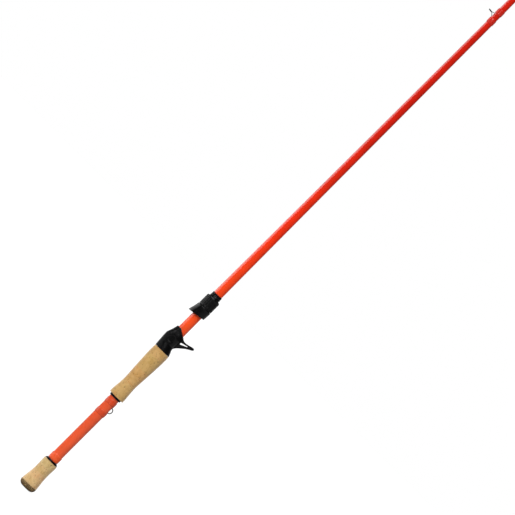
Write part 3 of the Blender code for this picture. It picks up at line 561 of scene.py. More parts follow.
def fillets(corners, steps=4):
    """A closed outline with rounded corners. A corner is (radius, height, rounding)."""
    outline = []
    count = len(corners)
    for i, (r, z, rounding) in enumerate(corners):
        here = Vector((r, z))
        back = Vector(corners[i - 1][:2]) - here
        ahead = Vector(corners[(i + 1) % count][:2]) - here
        if rounding <= 0:
            outline.append((r, z))
            continue
        half = back.angle(ahead) / 2
        run = min(rounding / math.tan(half), back.length * 0.49, ahead.length * 0.49)
        start = here + back.normalized() * run
        end = here + ahead.normalized() * run
        for k in range(steps + 1):
            t = k / steps
            spot = start * (1 - t) ** 2 + here * 2 * t * (1 - t) + end * t**2
            outline.append((spot.x, spot.y))
    return outline


def dense(outline, step, loop=True):
    """The outline with no stretch longer than step."""
    points = []
    count = len(outline)
    for i in range(count if loop else count - 1):
        a, b = Vector(outline[i]), Vector(outline[(i + 1) % count])
        parts = max(1, math.ceil((b - a).length / step))
        points += [tuple(a.lerp(b, k / parts)) for k in range(parts)]
    if not loop:
        points.append(tuple(outline[-1]))
    return points


def turned(name, outline, sides=96, relief=None, axis=None):
    """A piece turned round the rod's axis, or round the z axis of the given matrix.

    outline is a closed loop of (radius, height). relief gives, for arrays of angle, radius and
    height, how far each point stands out from its radius.
    """
    rz = np.array(outline)
    angle = np.linspace(0, math.tau, sides, endpoint=False)
    a, r = np.meshgrid(angle, rz[:, 0])
    z = np.repeat(rz[:, 1][:, None], sides, axis=1)
    if relief:
        r = r + relief(a, r, z)
    obj = from_rows(name, np.stack([r * np.cos(a), r * np.sin(a), z], axis=2))
    if axis is not None:
        obj.data.transform(axis)
    return obj


def ease(value):
    """A smooth step from 0 to 1."""
    t = np.clip(value, 0, 1)
    return t * t * (3 - 2 * t)


def away_from(angle, other):
    """How far one angle is from another, from minus half a turn to half a turn."""
    return (angle - other + math.pi) % math.tau - math.pi


def outline_of(*nodes):
    """(height, outer radius) pairs of turned CAD nodes, from the bottom up."""
    found = {}
    for name in nodes:
        for vert in frame["nodes"][name].data.vertices:
            height = round(vert.co.z, 6)
            found[height] = max(found.get(height, 0), math.hypot(vert.co.x, vert.co.y))
    return sorted(found.items())


BLANK_OUTLINE = outline_of("blank")


def blank_radius(z):
    return float(np.interp(z, *zip(*BLANK_OUTLINE)))


def smooth_through(points):
    """A function that follows a smooth curve through (height, value) points."""
    zs = np.array([z for z, _ in points])
    values = np.array([v for _, v in points])
    slopes = np.gradient(values, zs)

    def at(z):
        i = np.clip(np.searchsorted(zs, z) - 1, 0, len(zs) - 2)
        span = zs[i + 1] - zs[i]
        t = np.clip((z - zs[i]) / span, 0, 1)
        rise = (2 * t**3 - 3 * t**2 + 1) * values[i] + (3 * t**2 - 2 * t**3) * values[i + 1]
        lean = (t**3 - 2 * t**2 + t) * slopes[i] + (t**3 - t**2) * slopes[i + 1]
        return rise + lean * span

    return at


def through(points, steps=6):
    """The points of a path with a smooth curve through them."""
    spots = [Vector(p) for p in points]
    path = []
    for i in range(len(spots) - 1):
        p1, p2 = spots[i], spots[i + 1]
        p0 = spots[i - 1] if i else p1
        p3 = spots[i + 2] if i + 2 < len(spots) else p2
        for k in range(steps):
            t = k / steps
            bend = 2 * p0 - 5 * p1 + 4 * p2 - p3
            twist = 3 * p1 - p0 - 3 * p2 + p3
            path.append(tuple(p1 + 0.5 * t * (p2 - p0 + t * (bend + t * twist))))
    path.append(tuple(spots[-1]))
    return path


def add_spline(curve, points):
    """A straight-line spline through the points, in a curve."""
    spline = curve.splines.new("POLY")
    spline.points.add(len(points) - 1)
    for point, co in zip(spline.points, points):
        point.co = (*co, 1)
    return spline


def plate(name, outlines, width):
    """A flat plate across Y, from outlines of (x, z). Any outline after the first is a hole."""
    curve = bpy.data.curves.new(name, "CURVE")
    curve.dimensions = "2D"
    curve.fill_mode = "BOTH"
    curve.extrude = width / 2
    for outline in outlines:
        add_spline(curve, [(x, z, 0) for x, z in outline]).use_cyclic_u = True
    obj = show(name, curve)
    obj.rotation_euler = (math.pi / 2, 0, 0)
    return as_mesh(obj)


def wire(name, points, radii, resolution=4):
    """A round wire through the points, with its radius at each one."""
    curve = bpy.data.curves.new(name, "CURVE")
    curve.dimensions = "3D"
    curve.bevel_depth = 1.0
    curve.bevel_resolution = resolution
    curve.use_fill_caps = True
    for point, radius in zip(add_spline(curve, points).points, radii):
        point.radius = radius
    return as_mesh(show(name, curve))


def cut(obj, other, operation="DIFFERENCE"):
    """Applies a Boolean and removes the other object."""
    step = obj.modifiers.new("Cut", "BOOLEAN")
    step.object = other
    step.operation = operation
    step.solver = "EXACT"
    settle(obj)
    remove(other)


def soften(obj, voxel, rounds):
    """Melts a piece made of joined shapes into one skin with soft edges."""
    melt = obj.modifiers.new("Melt", "REMESH")
    melt.mode = "VOXEL"
    melt.voxel_size = voxel
    ease_out = obj.modifiers.new("Ease", "SMOOTH")
    ease_out.factor = 0.5
    ease_out.iterations = rounds
    settle(obj)


def stand_for(obj, cad_node, look):
    """Shows obj in place of a CAD node, with its body and this material."""
    obj.name = cad_node + FINE
    obj.data.materials.clear()
    obj.data.materials.append(look)
    obj.data.shade_smooth()
    obj.data.set_sharp_from_angle(angle=math.radians(50))
    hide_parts(cad_node)
    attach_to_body(obj, BODY_OF[cad_node])


# ---- Blank, butt cap and grips ----


def make_blank(look):
    low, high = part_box("blank")
    radius = smooth_through(BLANK_OUTLINE)
    heights = np.linspace(low.z, high.z, 480)
    outside = [(float(radius(z)), z) for z in heights[::-1]]
    inside = [(max(r - BLANK_WALL, r * BLANK_BORE), z) for r, z in reversed(outside)]
    stand_for(turned("blank", outside + inside, sides=64), "blank", look)


def make_butt_cap(look):
    """The cap's dome, with the grains standing a hair proud of one another."""
    _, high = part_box("butt_cap")
    radius = high.x
    socket = blank_radius(0) + 0.1 * MM
    floor = high.z - CAP_SOCKET
    dome = []
    for angle in np.linspace(math.pi / 2, 0, 25):
        r = CAP_FLAT + (radius - CAP_FLAT) * math.sin(angle)
        dome.append((r, high.z * (1 - math.cos(angle))))
    outside = dense([(socket, high.z), (radius - 0.15 * MM, high.z), *dome], 0.35 * MM, loop=False)
    outside += dense([(CAP_FLAT, 0), (0, 0)], 0.5 * MM, loop=False)

    def grains(a, r, z):
        rough = np.zeros_like(r)
        for index in np.ndindex(r.shape):
            if r[index] > socket * 1.02 and z[index] > 0.05 * MM:
                x = r[index] * math.cos(a[index]) * CAP_GRAINS
                y = r[index] * math.sin(a[index]) * CAP_GRAINS
                rough[index] = noise.noise((x, y, z[index] * CAP_GRAINS))
        return (rough - 0.5) * CAP_GRAIN_HEIGHT

    piece = turned("butt_cap", [(0, floor), (socket, floor), *outside], sides=220, relief=grains)
    stand_for(piece, "butt_cap", look)


def pits_on(obj, low, high, seed):
    """Presses lenticels into a cork ring, and stores how deep each point lies as an attribute."""
    dice = random.Random(seed)
    co = points_of(obj)
    radius = np.hypot(co[:, 0], co[:, 1])
    angle = np.arctan2(co[:, 1], co[:, 0])
    widest = float(radius.max())
    pit = np.zeros(len(co))
    for _ in range(dice.randint(26, 38)):
        at = dice.uniform(-math.pi, math.pi)
        z = dice.uniform(low, high)
        length = dice.choice(PIT_LENGTHS) * MM * dice.uniform(0.7, 1.2)
        width = dice.uniform(0.22, 0.45) * MM
        lean = dice.uniform(-0.35, 0.35)
        depth = dice.uniform(0.4, 1.0)
        across = away_from(angle, at) * widest
        up = co[:, 2] - z
        u = (across * math.cos(lean) + up * math.sin(lean)) / width
        v = (up * math.cos(lean) - across * math.sin(lean)) / length
        pit = np.maximum(pit, depth * ease(1.25 - np.hypot(u, v)))
    pit *= radius > 0.8 * widest
    co[:, :2] *= (1 - pit * PIT_DEPTH / np.maximum(radius, 1 * MM))[:, None]
    obj.data.vertices.foreach_set("co", co.ravel())
    layer = obj.data.attributes.new("pit", "FLOAT", "POINT")
    layer.data.foreach_set("value", pit.astype(np.float32))


def make_grip(name, tone, seed):
    """Cork rings, each with its own piece of bark, sanded to one smooth outline."""
    rings = sorted(n for n in frame["nodes"] if n.startswith(f"{name}_cork_ring_"))
    rings.sort(key=lambda n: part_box(n)[0].z)
    radius = smooth_through(outline_of(*rings))
    dice = random.Random(seed)
    for i, ring in enumerate(rings):
        low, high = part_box(ring)
        bottom = low.z - CORK_GLUE if i else low.z
        top = high.z + CORK_GLUE if i < len(rings) - 1 else high.z
        heights = np.linspace(bottom + CORK_EDGE, top - CORK_EDGE, 40)
        outside = [(float(radius(z)), z) for z in heights[::-1]]
        hole = blank_radius(low.z) + GLUED
        outline = [(outside[0][0] - CORK_EDGE, top), *outside, (outside[-1][0] - CORK_EDGE, bottom)]
        piece = turned(ring, [*outline, (hole, bottom), (hole, top)], sides=240)
        pits_on(piece, low.z, high.z, seed + i)
        shade = [share * dice.uniform(0.96, 1.04) for share in tone]
        look = cork_look(f"{name}_cork_{i + 1}", dice.uniform(0, math.tau), dice.uniform(0, 3), shade)
        stand_for(piece, ring, look)


def make_collar(cad_node, corners, look, steps=4):
    """A turned collar on the blank. corners run down its outside, as for fillets."""
    bottom = min(z for _, z, _ in corners)
    top = max(z for _, z, _ in corners)
    hole = blank_radius(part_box(cad_node)[0].z) + GLUED
    outline = fillets([*corners, (hole, bottom, 0), (hole, top, 0)], steps)
    stand_for(turned("collar", outline), cad_node, look)


def make_checks(look):
    """The winding checks, turned from aluminium. The front grip's has a fine groove round it."""
    low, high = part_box("rear_winding_check")
    corners = [
        (REAR_CHECK_NARROW, high.z, 0.2 * MM),
        (high.x, low.z + REAR_CHECK_STEP, 0.25 * MM),
        (high.x, low.z, 0.1 * MM),
    ]
    make_collar("rear_winding_check", corners, look)

    low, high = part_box("grip_winding_check")
    groove = high.x - CHECK_GROOVE_DEPTH
    first, floor, ceiling, last = (low.z + z * MM for z in CHECK_GROOVE)
    corners = [
        (high.x, high.z, 0.1 * MM),
        (high.x, last, 0.1 * MM),
        (groove, ceiling, 0.05 * MM),
        (groove, floor, 0.05 * MM),
        (high.x, first, 0.1 * MM),
        (high.x - CHECK_CHAMFER, low.z, 0.25 * MM),
    ]
    make_collar("grip_winding_check", corners, look)


# ---- Thread wraps ----


def make_wrap(cad_node, look, foot=None):
    """Thread under epoxy. foot is (angle, half width, height, start, end) of what it covers."""
    low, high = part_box(cad_node)
    wall = max(high.y - blank_radius((low.z + high.z) / 2), 0.3 * MM)
    heights = np.arange(low.z, high.z + 1e-6, WRAP_PITCH / 4)

    def cover(z):
        """Thickness of thread and epoxy, thin at both ends."""
        share = ease((z - low.z) / WRAP_LEAD) * ease((high.z - z) / WRAP_LEAD)
        return wall * (0.25 + 0.75 * share)

    outside = [(blank_radius(z) + cover(z), z) for z in heights[::-1]]
    inside = [(blank_radius(z) + WRAP_BED, z) for z in (low.z, high.z)]

    def relief(a, r, z):
        ridge = WRAP_RIDGE * np.sin(z * math.tau / WRAP_PITCH + a)
        if foot:
            at, half, height, start, end = foot
            over = ease(1.6 - np.abs(away_from(a, at) * r) / half / 1.6)
            ends = ease((z - start) / (1.5 * MM) + 0.5) * ease((end - z) / (1.5 * MM) + 0.5)
            ridge = ridge + height * over * ends
        return np.where(r > blank_radius(low.z) + 2 * WRAP_BED, ridge, 0)

    stand_for(turned(cad_node, outside + inside, sides=72, relief=relief), cad_node, look)


# ---- Reel seat ----


def in_metres(sections, base):
    """Sections with their lengths in metres and their heights over the butt."""
    return [(base + z * MM, r * MM, t * MM, w * MM, n) for z, r, t, w, n in sections]


def straight_sections(sections, step):
    """The sections with straight-line ones filled in between, no more than step apart."""
    rows = np.array(sections)
    heights = []
    for low, high in zip(rows[:-1, 0], rows[1:, 0]):
        heights += list(np.linspace(low, high, max(2, math.ceil((high - low) / step)), endpoint=False))
    heights.append(rows[-1, 0])
    return [[z, *(float(np.interp(z, rows[:, 0], column)) for column in rows.T[1:])] for z in heights]


def oval(z, z_at, reel, trigger, half_width, squareness, sides=112):
    """Points of a rounded section. z_at(x, z) gives the height at each x."""
    angle = np.linspace(0, math.tau, sides, endpoint=False)
    c, s = np.cos(angle), np.sin(angle)
    x = (trigger - reel) / 2 + (trigger + reel) / 2 * np.sign(c) * np.abs(c) ** (2 / squareness)
    y = half_width * np.sign(s) * np.abs(s) ** (2 / squareness)
    return np.stack([x, y, z_at(x, z)], axis=1)


def lofted(name, sections, z_at=np.full_like):
    """A closed skin over rounded sections, from low to high. z_at(x, z) leans them."""
    rows = straight_sections(sections, 1 * MM)
    return capped(name, [oval(z, z_at, *section) for z, *section in rows])


def inset(section, roof):
    """The section of a pocket, with walls on its flanks and this roof on its reel side."""
    z, reel, trigger, half_width, squareness = section
    return (z, reel - roof, trigger - POCKET_SIDE, half_width - POCKET_SIDE, squareness)


def box_outline(x0, x1, z0, z1):
    return [(x0, z0), (x1, z0), (x1, z1), (x0, z1)]


def press_rests(obj, x, z):
    """Presses a shallow round rest for the thumb into both flanks of the seat."""
    co = points_of(obj)
    away = np.hypot(co[:, 0] - x, co[:, 2] - z)
    outer = np.abs(co[:, 1]) > REST_INSIDE
    co[:, 1] -= np.sign(co[:, 1]) * outer * REST_DEPTH * ease((REST_RADIUS - away) / REST_EDGE)
    obj.data.vertices.foreach_set("co", co.ravel())


def make_trigger(base):
    """The trigger's blade with its long window, narrower towards the tip."""
    tip = []
    for t in np.linspace(-TRIGGER_TIP_ARC, TRIGGER_TIP_ARC, 9):
        x = TRIGGER_TIP[0] + TRIGGER_TIP_RADIUS * math.cos(t)
        tip.append((x, TRIGGER_TIP[1] + TRIGGER_TIP_RADIUS * math.sin(t)))
    outside = [*through(TRIGGER_REAR), *tip, *through(TRIGGER_FRONT), *TRIGGER_ROOT]
    window = through(WINDOW_REAR) + through(WINDOW_FRONT)
    outlines = [[(x * MM, base + z * MM) for x, z in path] for path in (outside, window)]
    blade = plate("trigger", outlines, TRIGGER_WIDTH)
    start, length, share = TRIGGER_NARROWS
    for vert in blade.data.vertices:
        vert.co.y *= 1 - share * max(0.0, (vert.co.x - start) / length)
    rounding = blade.modifiers.new("Rounding", "BEVEL")
    rounding.width = TRIGGER_ROUNDING
    rounding.segments = 3
    rounding.limit_method = "ANGLE"
    rounding.angle_limit = math.radians(60)
    return settle(blade)


def make_seat(look):
    """The moulding: fixed hood, open deck, finger recess and trigger, melted into one skin."""
    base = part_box("seat_body")[0].z
    sections = in_metres(SEAT_SECTIONS, base)
    top = sections[-1][0]
    seat = lofted("seat", sections)
    end = top + SEAT_SLANT * (PAST - SEAT_SLANT_START)
    front = [(SEAT_SLANT_START, top), (PAST, end), (PAST, top + PAST), (-PAST, top + PAST)]
    cut(seat, plate("front", [[*front, (-PAST, top + 0.1 * MM)]], 2 * PAST))
    cut(seat, make_trigger(base), "UNION")

    pocket = lofted("pocket", [inset(section, SEAT_ROOF) for section in sections])
    mouth = base + SEAT_POCKET_MOUTH
    span = box_outline(-FOOT_DECK, -PAST, base + SEAT_POCKET_FLOOR, mouth + 1 * MM)
    cut(pocket, plate("span", [span], FOOT_WIDTH), "INTERSECT")
    cut(seat, pocket)
    cut(seat, plate("deck", [box_outline(-FOOT_DECK, -PAST, mouth, top + PAST)], FOOT_WIDTH))
    hole = blank_radius(top) + SEAT_LIP_GAP
    wide = hole + SEAT_LIP_HEIGHT
    lip = top - SEAT_LIP
    bore = [(0, top + PAST), (hole, top + PAST), (hole, lip), (wide, lip - 1 * MM), (wide, base - PAST)]
    cut(seat, turned("bore", [*bore, (0, base - PAST)]))
    soften(seat, 0.33 * MM, 6)
    press_rests(seat, REST_MIDDLE[0] * MM, base + REST_MIDDLE[1] * MM)
    stand_for(seat, "seat_body", look)


def screw_start():
    """The height at which the barrel's thread begins."""
    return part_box("threaded_barrel")[0].z + SCREW_START


def screw_height(a, z, start, turns):
    """The share, 0 to 1, of a right-hand thread's depth at an angle and a height."""
    phase = (z - start) / SCREW_PITCH - a / math.tau
    ridge = 1 - np.abs(((phase + 0.5) % 1) - 0.5) * 2
    ends = ease(phase + 0.5) * ease(turns + 0.5 - phase)
    return np.clip(ridge * 1.5 - 0.25, 0, 1) * ends


def make_barrel(plastic, metal):
    """The threaded barrel with its keyway, and the ring in front of it."""
    low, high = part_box("threaded_barrel")
    hole = blank_radius(high.z) + GLUED
    corners = [(BARREL_ROOT, high.z, 0.3 * MM), (BARREL_ROOT, low.z, 0.3 * MM)]
    outline = dense(fillets([*corners, (hole, low.z, 0), (hole, high.z, 0)]), 0.16 * MM)

    def relief(a, r, z):
        outer = r > BARREL_ROOT - 0.05 * MM
        stand = (BARREL_CREST - BARREL_ROOT) * screw_height(a, z, screw_start(), SCREW_TURNS)
        keyed = (np.cos(a) > 0) & (np.abs(r * np.sin(a)) < KEYWAY_HALF) & (z < high.z - KEYWAY_END)
        return np.where(outer, np.where(keyed, KEYWAY_FLOOR - r, stand), 0)

    barrel = turned("barrel", outline, sides=160, relief=relief)
    stand_for(barrel, "threaded_barrel", plastic)

    low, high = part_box("barrel_end_ring")
    corners = [(high.x, high.z, 0.5 * MM), (high.x, low.z - END_RING_LAP, 0.15 * MM)]
    make_collar("barrel_end_ring", corners, metal, 6)


def make_hood(look):
    """The sliding hood: a shell that leans back over the reel's foot, with a key inside."""
    low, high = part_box("sliding_hood")
    base = low.z
    sections = in_metres(HOOD_SECTIONS, base)
    top = sections[-1][0]

    def leaning(x, z):
        return z + (top - z) / (top - base) * HOOD_LEAN * (x - HOOD_PEAK)

    hood = lofted("hood", sections, leaning)
    inner = [inset(section, HOOD_ROOF) for section in sections]
    mouth = (inner[0][0] - HOOD_MOUTH, *inner[0][1:])
    pocket = lofted("pocket", [mouth, *inner], leaning)
    span = box_outline(-HOOD_DECK, -PAST, base - PAST, base + HOOD_POCKET_END)
    cut(pocket, plate("span", [span], FOOT_WIDTH), "INTERSECT")
    skirt = box_outline(*SKIRT_RADII, top - SKIRT_LAP, high.z)
    cut(hood, turned("skirt", skirt), "UNION")
    cut(hood, turned("bore", box_outline(0, HOOD_BORE, base - PAST, high.z + PAST)))
    cut(hood, pocket)
    key = box_outline(*KEY_REACH, *(base + z for z in KEY_SPAN))
    cut(hood, plate("key", [key], KEY_WIDTH), "UNION")
    soften(hood, 0.28 * MM, 5)
    stand_for(hood, "sliding_hood", look)


def make_nut(look):
    """The locking nut: scalloped for grip, with a plain collar at each end and a thread inside."""
    low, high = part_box("locking_nut")
    land_low, land_high = (low.z + z for z in NUT_LAND)
    corners = [
        (NUT_RADIUS - NUT_CHAMFER, high.z, 0.3 * MM),
        (NUT_RADIUS, high.z - NUT_CHAMFER, 0.5 * MM),
        (NUT_RADIUS, low.z, 0.5 * MM),
        (NUT_SEAT_RADIUS, low.z, 0.1 * MM),
        (NUT_SEAT_RADIUS, land_low, 0.1 * MM),
        (NUT_LAND_RADIUS, land_low, 0.1 * MM),
        (NUT_LAND_RADIUS, land_high, 0.1 * MM),
        (NUT_FRONT_BORE, low.z + NUT_FRONT, 0.1 * MM),
        (NUT_FRONT_BORE, high.z, 0.2 * MM),
    ]
    outline = dense(fillets(corners), 0.22 * MM)
    first, last = low.z + NUT_COLLARS[0], high.z - NUT_COLLARS[1]

    def relief(a, r, z):
        scallop = NUT_FLUTE_DEPTH * ease((0.35 - np.cos(NUT_FLUTES * a)) / 1.1)
        span = ease((z - first) / NUT_FLUTE_RUNOUT) * ease((last - z) / NUT_FLUTE_RUNOUT)
        thread = NUT_THREAD_DEPTH * screw_height(a, z, screw_start() - SCREW_PITCH, SCREW_TURNS + 2)
        threaded = (z > land_low + 0.1 * MM) & (z < land_high - 0.1 * MM)
        inside = np.where((r < NUT_LAND_RADIUS + 0.05 * MM) & threaded, thread, 0)
        return np.where(r > NUT_RADIUS - 0.2 * MM, -scallop * span, inside)

    stand_for(turned("nut", outline, sides=240, relief=relief), "locking_nut", look)


# ---- Hook keeper, guides and tip-top ----


def make_hook_keeper(steel, thread):
    """A bent wire loop, its feet ground flat and thin under the wraps."""
    low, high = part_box("hook_keeper")
    middle = (low.z + high.z) / 2
    rest = blank_radius(middle) + KEEPER_REST
    heel = rest + 0.25 * MM
    rise = high.x - KEEPER_WIRE - heel
    half = []  # x, height over the loop's middle, and the wire's radius
    for t in np.linspace(0, math.pi / 2, 17):
        half.append((heel + rise * math.cos(t), KEEPER_LOOP * math.sin(t), KEEPER_WIRE))
    half.append((rest + 0.05 * MM, KEEPER_LOOP + 0.7 * MM, 0.34 * MM))
    half.append((rest, KEEPER_LOOP + 1.4 * MM, 0.26 * MM))
    half.append((rest, high.z - middle, KEEPER_FOOT))
    whole = [(x, -z, r) for x, z, r in reversed(half[1:])] + half
    points = [(x, 0, middle + z) for x, z, _ in whole]
    stand_for(wire("keeper", points, [r for _, _, r in whole], 6), "hook_keeper", steel)
    for name, start, end in (("rear", low.z, middle), ("front", middle, high.z)):
        make_wrap(f"hook_keeper_wrap_{name}", thread, (0.0, 0.5 * MM, 0.28 * MM, start, end))


def strip(name, stations):
    """A bent metal strip. A station is (height over the axis, z, half width, half thickness)."""
    angle = np.linspace(0, math.tau, 16, endpoint=False)
    across = np.sign(np.cos(angle)) * np.abs(np.cos(angle)) ** 0.6
    up = np.sign(np.sin(angle)) * np.abs(np.sin(angle)) ** 0.6
    spots = [Vector((-u, z)) for u, z, _, _ in stations]
    rows = []
    for i, (_, _, half, thick) in enumerate(stations):
        path = (spots[min(i + 1, len(spots) - 1)] - spots[max(i - 1, 0)]).normalized()
        x = spots[i].x - path.y * thick * up
        z = spots[i].y + path.x * thick * up
        rows.append(np.stack([x, half * across, z], axis=1))
    return capped(name, rows)


def ring_place(cad_node):
    """The ring's middle, its outer radius and its tilted axis, from the CAD node."""
    low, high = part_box(cad_node)
    middle = (low + high) / 2
    axis = Matrix.Translation(middle) @ Matrix.Rotation(-GUIDE_TILT, 4, "Y")
    return middle, (high.y - low.y) / 2, axis


def make_ring(cad_node, look):
    """The polished ring: a wide rounded lip on the line's side."""
    _, radius, axis = ring_place(cad_node)
    inner = radius * RING_OPEN
    middle = (inner + radius) / 2
    corners = [
        (middle, RING_HALF, 0.3 * MM),
        (radius, RING_HALF * 0.55, 0.25 * MM),
        (radius, -RING_HALF * 0.55, 0.25 * MM),
        (middle, -RING_HALF, 0.3 * MM),
        (inner, -RING_HALF * 0.4, 0.5 * MM),
        (inner, RING_HALF * 0.4, 0.5 * MM),
    ]
    stand_for(turned("ring", fillets(corners, 6), sides=72, axis=axis), cad_node, look)


def make_hoop(frame_node, ring_node):
    """The hoop that holds the ring, as part of a frame, with its middle and its outer radius."""
    middle, inner, axis = ring_place(ring_node)
    low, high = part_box(frame_node)
    outer = (high.y - low.y) / 2
    hole = inner + HOOP_GAP
    corners = [(outer, HOOP_HALF, 0.15 * MM), (outer, -HOOP_HALF, 0.15 * MM)]
    corners += [(hole, -HOOP_HALF, 0.1 * MM), (hole, HOOP_HALF, 0.1 * MM)]
    return turned("hoop", fillets(corners), sides=72, axis=axis), middle, outer


def make_foot(middle, outer, end, near, back):
    """One foot and its leg, from the foot's thin end up to the hoop. back is -1 for a rear foot."""
    heel = middle.z + back * near
    half = 0.15 * MM + 0.15 * blank_radius(middle.z)
    meet = (-middle.x - outer + 0.12 * MM, middle.z + back * 0.15 * MM)
    top = blank_radius(heel) + 0.16 * MM
    rise, run = meet[0] - top, meet[1] - heel
    stations = [
        (blank_radius(end) + 0.13 * MM, end, half * 0.45, 0.05 * MM),
        (blank_radius(end) + 0.15 * MM, end - back * 1.5 * MM, half * 0.8, 0.07 * MM),
        (top, heel + back * 1.0 * MM, half, 0.10 * MM),
        (top + 0.12 * MM, heel, half * 1.1, 0.28 * MM),
        (top + rise * 0.25, heel + run * 0.30, half * 1.15, 0.42 * MM),
        (top + rise * 0.7, heel + run * 0.72, half * 1.3, 0.42 * MM),
        (*meet, half * 1.6, 0.42 * MM),
    ]
    return strip("foot", through(stations, 4))


def make_guide(name, ends, frame_look, ring_look):
    """A guide's frame and ring. ends lists (foot's end, distance of the leg's heel, side)."""
    frame_node, ring_node = f"{name}_frame", f"{name}_ring"
    hoop, middle, outer = make_hoop(frame_node, ring_node)
    for end, near, back in ends:
        cut(hoop, make_foot(middle, outer, end, near, back), "UNION")
    soften(hoop, 0.09 * MM, 3)
    stand_for(hoop, frame_node, frame_look)
    make_ring(ring_node, ring_look)


def make_guides(metal, ceramic, thread):
    low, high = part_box("stripper_guide_frame")
    rear_heel, front_heel = STRIPPER_HEELS
    ends = [(low.z, rear_heel, -1), (high.z, front_heel, 1)]
    make_guide("stripper_guide", ends, metal, ceramic)
    feet = (("rear", low.z, low.z + GUIDE_FOOT), ("front", high.z - GUIDE_FOOT, high.z))
    for name, start, end in feet:
        make_wrap(f"stripper_guide_wrap_{name}", thread, (math.pi, 1.0 * MM, 0.22 * MM, start, end))
    frames = [n for n in frame["nodes"] if n.startswith("runner_guide_") and n.endswith("_frame")]
    for name in sorted(n.removesuffix("_frame") for n in frames):
        low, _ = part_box(f"{name}_frame")
        make_guide(name, [(low.z, RUNNER_HEEL, -1)], metal, ceramic)
        make_wrap(f"{name}_wrap", thread, (math.pi, 0.6 * MM, 0.2 * MM, low.z, low.z + GUIDE_FOOT))


def make_tip_top(metal, ceramic, thread):
    """The tube on the blank's end, its hoop, and the two wires that brace it."""
    hoop, middle, outer = make_hoop("tip_top_frame", "tip_top_ring")
    low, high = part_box("tip_top_frame")
    hole, tube = TIP_TUBE
    top = high.z - TIP_TUBE_END
    corners = [(tube, top, 0.2 * MM), (tube, low.z, 0.2 * MM), (hole, low.z, 0), (hole, top, 0)]
    cut(hoop, turned("sleeve", fillets(corners), sides=48), "UNION")
    for side in (-1, 1):
        start = (middle.x, side * (outer - 0.18 * MM), middle.z - 0.2 * MM)
        end = (-tube * 0.6, side * tube * 0.8, low.z + 4 * MM)
        x, y, z = ((a + b) / 2 for a, b in zip(start, end))
        path = through([start, (x - 0.2 * MM, y * 1.08, z), end])
        cut(hoop, wire("brace", path, [TIP_BRACE] * len(path)), "UNION")
    _, inner, axis = ring_place("tip_top_ring")
    opening = box_outline(0, inner + HOOP_GAP, -TIP_OPENING, TIP_OPENING)
    cut(hoop, turned("opening", opening, sides=72, axis=axis))
    soften(hoop, 0.09 * MM, 3)
    stand_for(hoop, "tip_top_frame", metal)
    make_ring("tip_top_ring", ceramic)
    make_wrap("tip_top_wrap", thread)


# ---- Lights, floor and camera ----


def make_sun(name, towards, strength, spread_deg, glossy):
    data = bpy.data.lights.new(name, "SUN")
    data.energy = strength
    data.angle = math.radians(spread_deg)
    obj = show(name, data)
    obj.visible_glossy = glossy
    obj.location = Vector(towards).normalized() * SUN_DISTANCE
    obj.rotation_euler = (-obj.location).to_track_quat("-Z", "Y").to_euler()


def make_studio(world):
    """White to the eye. To everything else, a dim room with an upright strip light on the -X side."""
    world.use_nodes = True
    fill = world.node_tree.nodes["Background"]
    towards = node(fill, "ShaderNodeTexCoord").outputs["Generated"]
    facing = node(fill, "ShaderNodeVectorMath", {0: towards, 1: STRIP_TOWARDS}, operation="DOT_PRODUCT")
    level = spread(calc("ABSOLUTE", coordinate(towards)), 0.12, 0.42, 1.0, 0.0)
    strip_light = calc("MULTIPLY", spread(facing.outputs["Value"], 0.70, 0.94), level)
    behind = spread(coordinate(towards, "Y"), 0.0, 1.0)
    room = calc("ADD", calc("MULTIPLY", behind, BACKDROP_STRENGTH), ROOM_STRENGTH)
    strength = calc("ADD", calc("MULTIPLY", strip_light, STRIP_STRENGTH), room)
    fill.inputs["Color"].default_value = (1, 1, 1, 1)
    attach(fill, Strength=strength)
    seen = node(fill, "ShaderNodeBackground", {"Color": (1, 1, 1), "Strength": 1.0})
    ray = node(fill, "ShaderNodeLightPath").outputs["Is Camera Ray"]
    both = node(fill, "ShaderNodeMixShader", {0: ray, 1: fill.outputs[0], 2: seen.outputs[0]})
    attach(world.node_tree.nodes["World Output"], Surface=both.outputs[0])


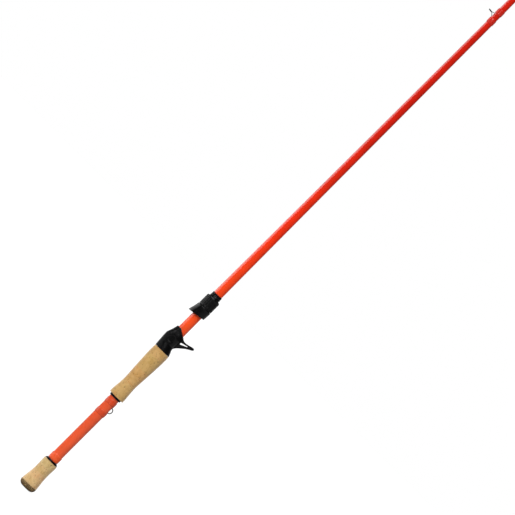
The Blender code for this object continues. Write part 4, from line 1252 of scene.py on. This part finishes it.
def make_stage():
    """The studio, its soft suns in front and behind, and a pale floor under the butt."""
    world = bpy.data.worlds.new("studio")
    bpy.context.scene.world = world
    make_studio(world)
    for sun in SUNS:
        make_sun(*sun)

    square = box_outline(-FLOOR_HALF, FLOOR_HALF, -FLOOR_HALF, FLOOR_HALF)
    mesh = bpy.data.meshes.new("floor")
    mesh.from_pydata([(x, y, -FLOOR_DROP) for x, y in square], [], [(0, 1, 2, 3)])
    floor = show("floor", mesh)
    look, shader = new_look("white_floor", {"Roughness": 0.9, "Specular IOR Level": 0.0})
    ray = node(shader, "ShaderNodeLightPath").outputs["Is Camera Ray"]
    shader.inputs["Emission Color"].default_value = (1, 1, 1, 1)
    grey = mix(ray, (0.35, 0.35, 0.35), (0.25, 0.25, 0.25))
    attach(shader, Base_Color=grey, Emission_Strength=calc("MULTIPLY", ray, FLOOR_GLOW))
    floor.data.materials.append(look)


def make_camera():
    """Square to the rod's side, rolled by 45 degrees so that the rod runs along the diagonal."""
    data = bpy.data.cameras.new("camera")
    data.sensor_width = SENSOR_WIDTH
    data.lens = SENSOR_WIDTH * CAMERA_DISTANCE / VIEW_WIDTH
    data.clip_end = 100.0
    obj = show("camera", data)
    right = Vector((1, 0, 1)).normalized()
    up = Vector((-1, 0, 1)).normalized()
    back = Vector((0, -1, 0))
    turn = Matrix((right, up, back)).transposed()
    x, z = CAMERA_CENTRE
    obj.matrix_world = Matrix.Translation((x, -CAMERA_DISTANCE, z)) @ turn.to_4x4()
    bpy.context.scene.camera = obj


def build():
    orange = blank_look()
    anodised = metal_look("black_anodised", (0.016, 0.016, 0.018), 0.30, 1.0)
    deep_wrap = wrap_look("deep_red_thread", (0.58, 0.050, 0.012), (0.80, 0.085, 0.022))
    red_wrap = wrap_look("red_thread", (0.48, 0.010, 0.003), (0.74, 0.024, 0.008))
    trim_wrap = wrap_look("orange_thread", (0.78, 0.085, 0.018), (0.95, 0.125, 0.032))
    make_blank(orange)
    make_butt_cap(rubber_cork_look())
    make_grip("rear", (1.00, 0.98, 0.97), 11)
    make_grip("front", (0.89, 0.81, 0.62), 31)
    make_checks(anodised)
    make_wrap("rear_trim_wrap", trim_wrap)
    moulding = moulding_look()
    make_seat(moulding)
    make_barrel(moulding, anodised)
    make_hood(moulding)
    make_nut(moulding)
    guide_metal = black_paint_look()
    ceramic = ceramic_look()
    make_hook_keeper(guide_metal, deep_wrap)
    make_guides(guide_metal, ceramic, red_wrap)
    make_tip_top(guide_metal, ceramic, red_wrap)
    frame["nodes"]["seat_arbor"].data.materials[0] = fibre_look()
    steel = metal_look("spring_steel", (0.45, 0.45, 0.46), 0.3)
    frame["nodes"]["hood_retaining_ring"].data.materials[0] = steel
    make_stage()
    make_camera()
    bpy.context.scene.view_settings.view_transform = "Standard"


build()
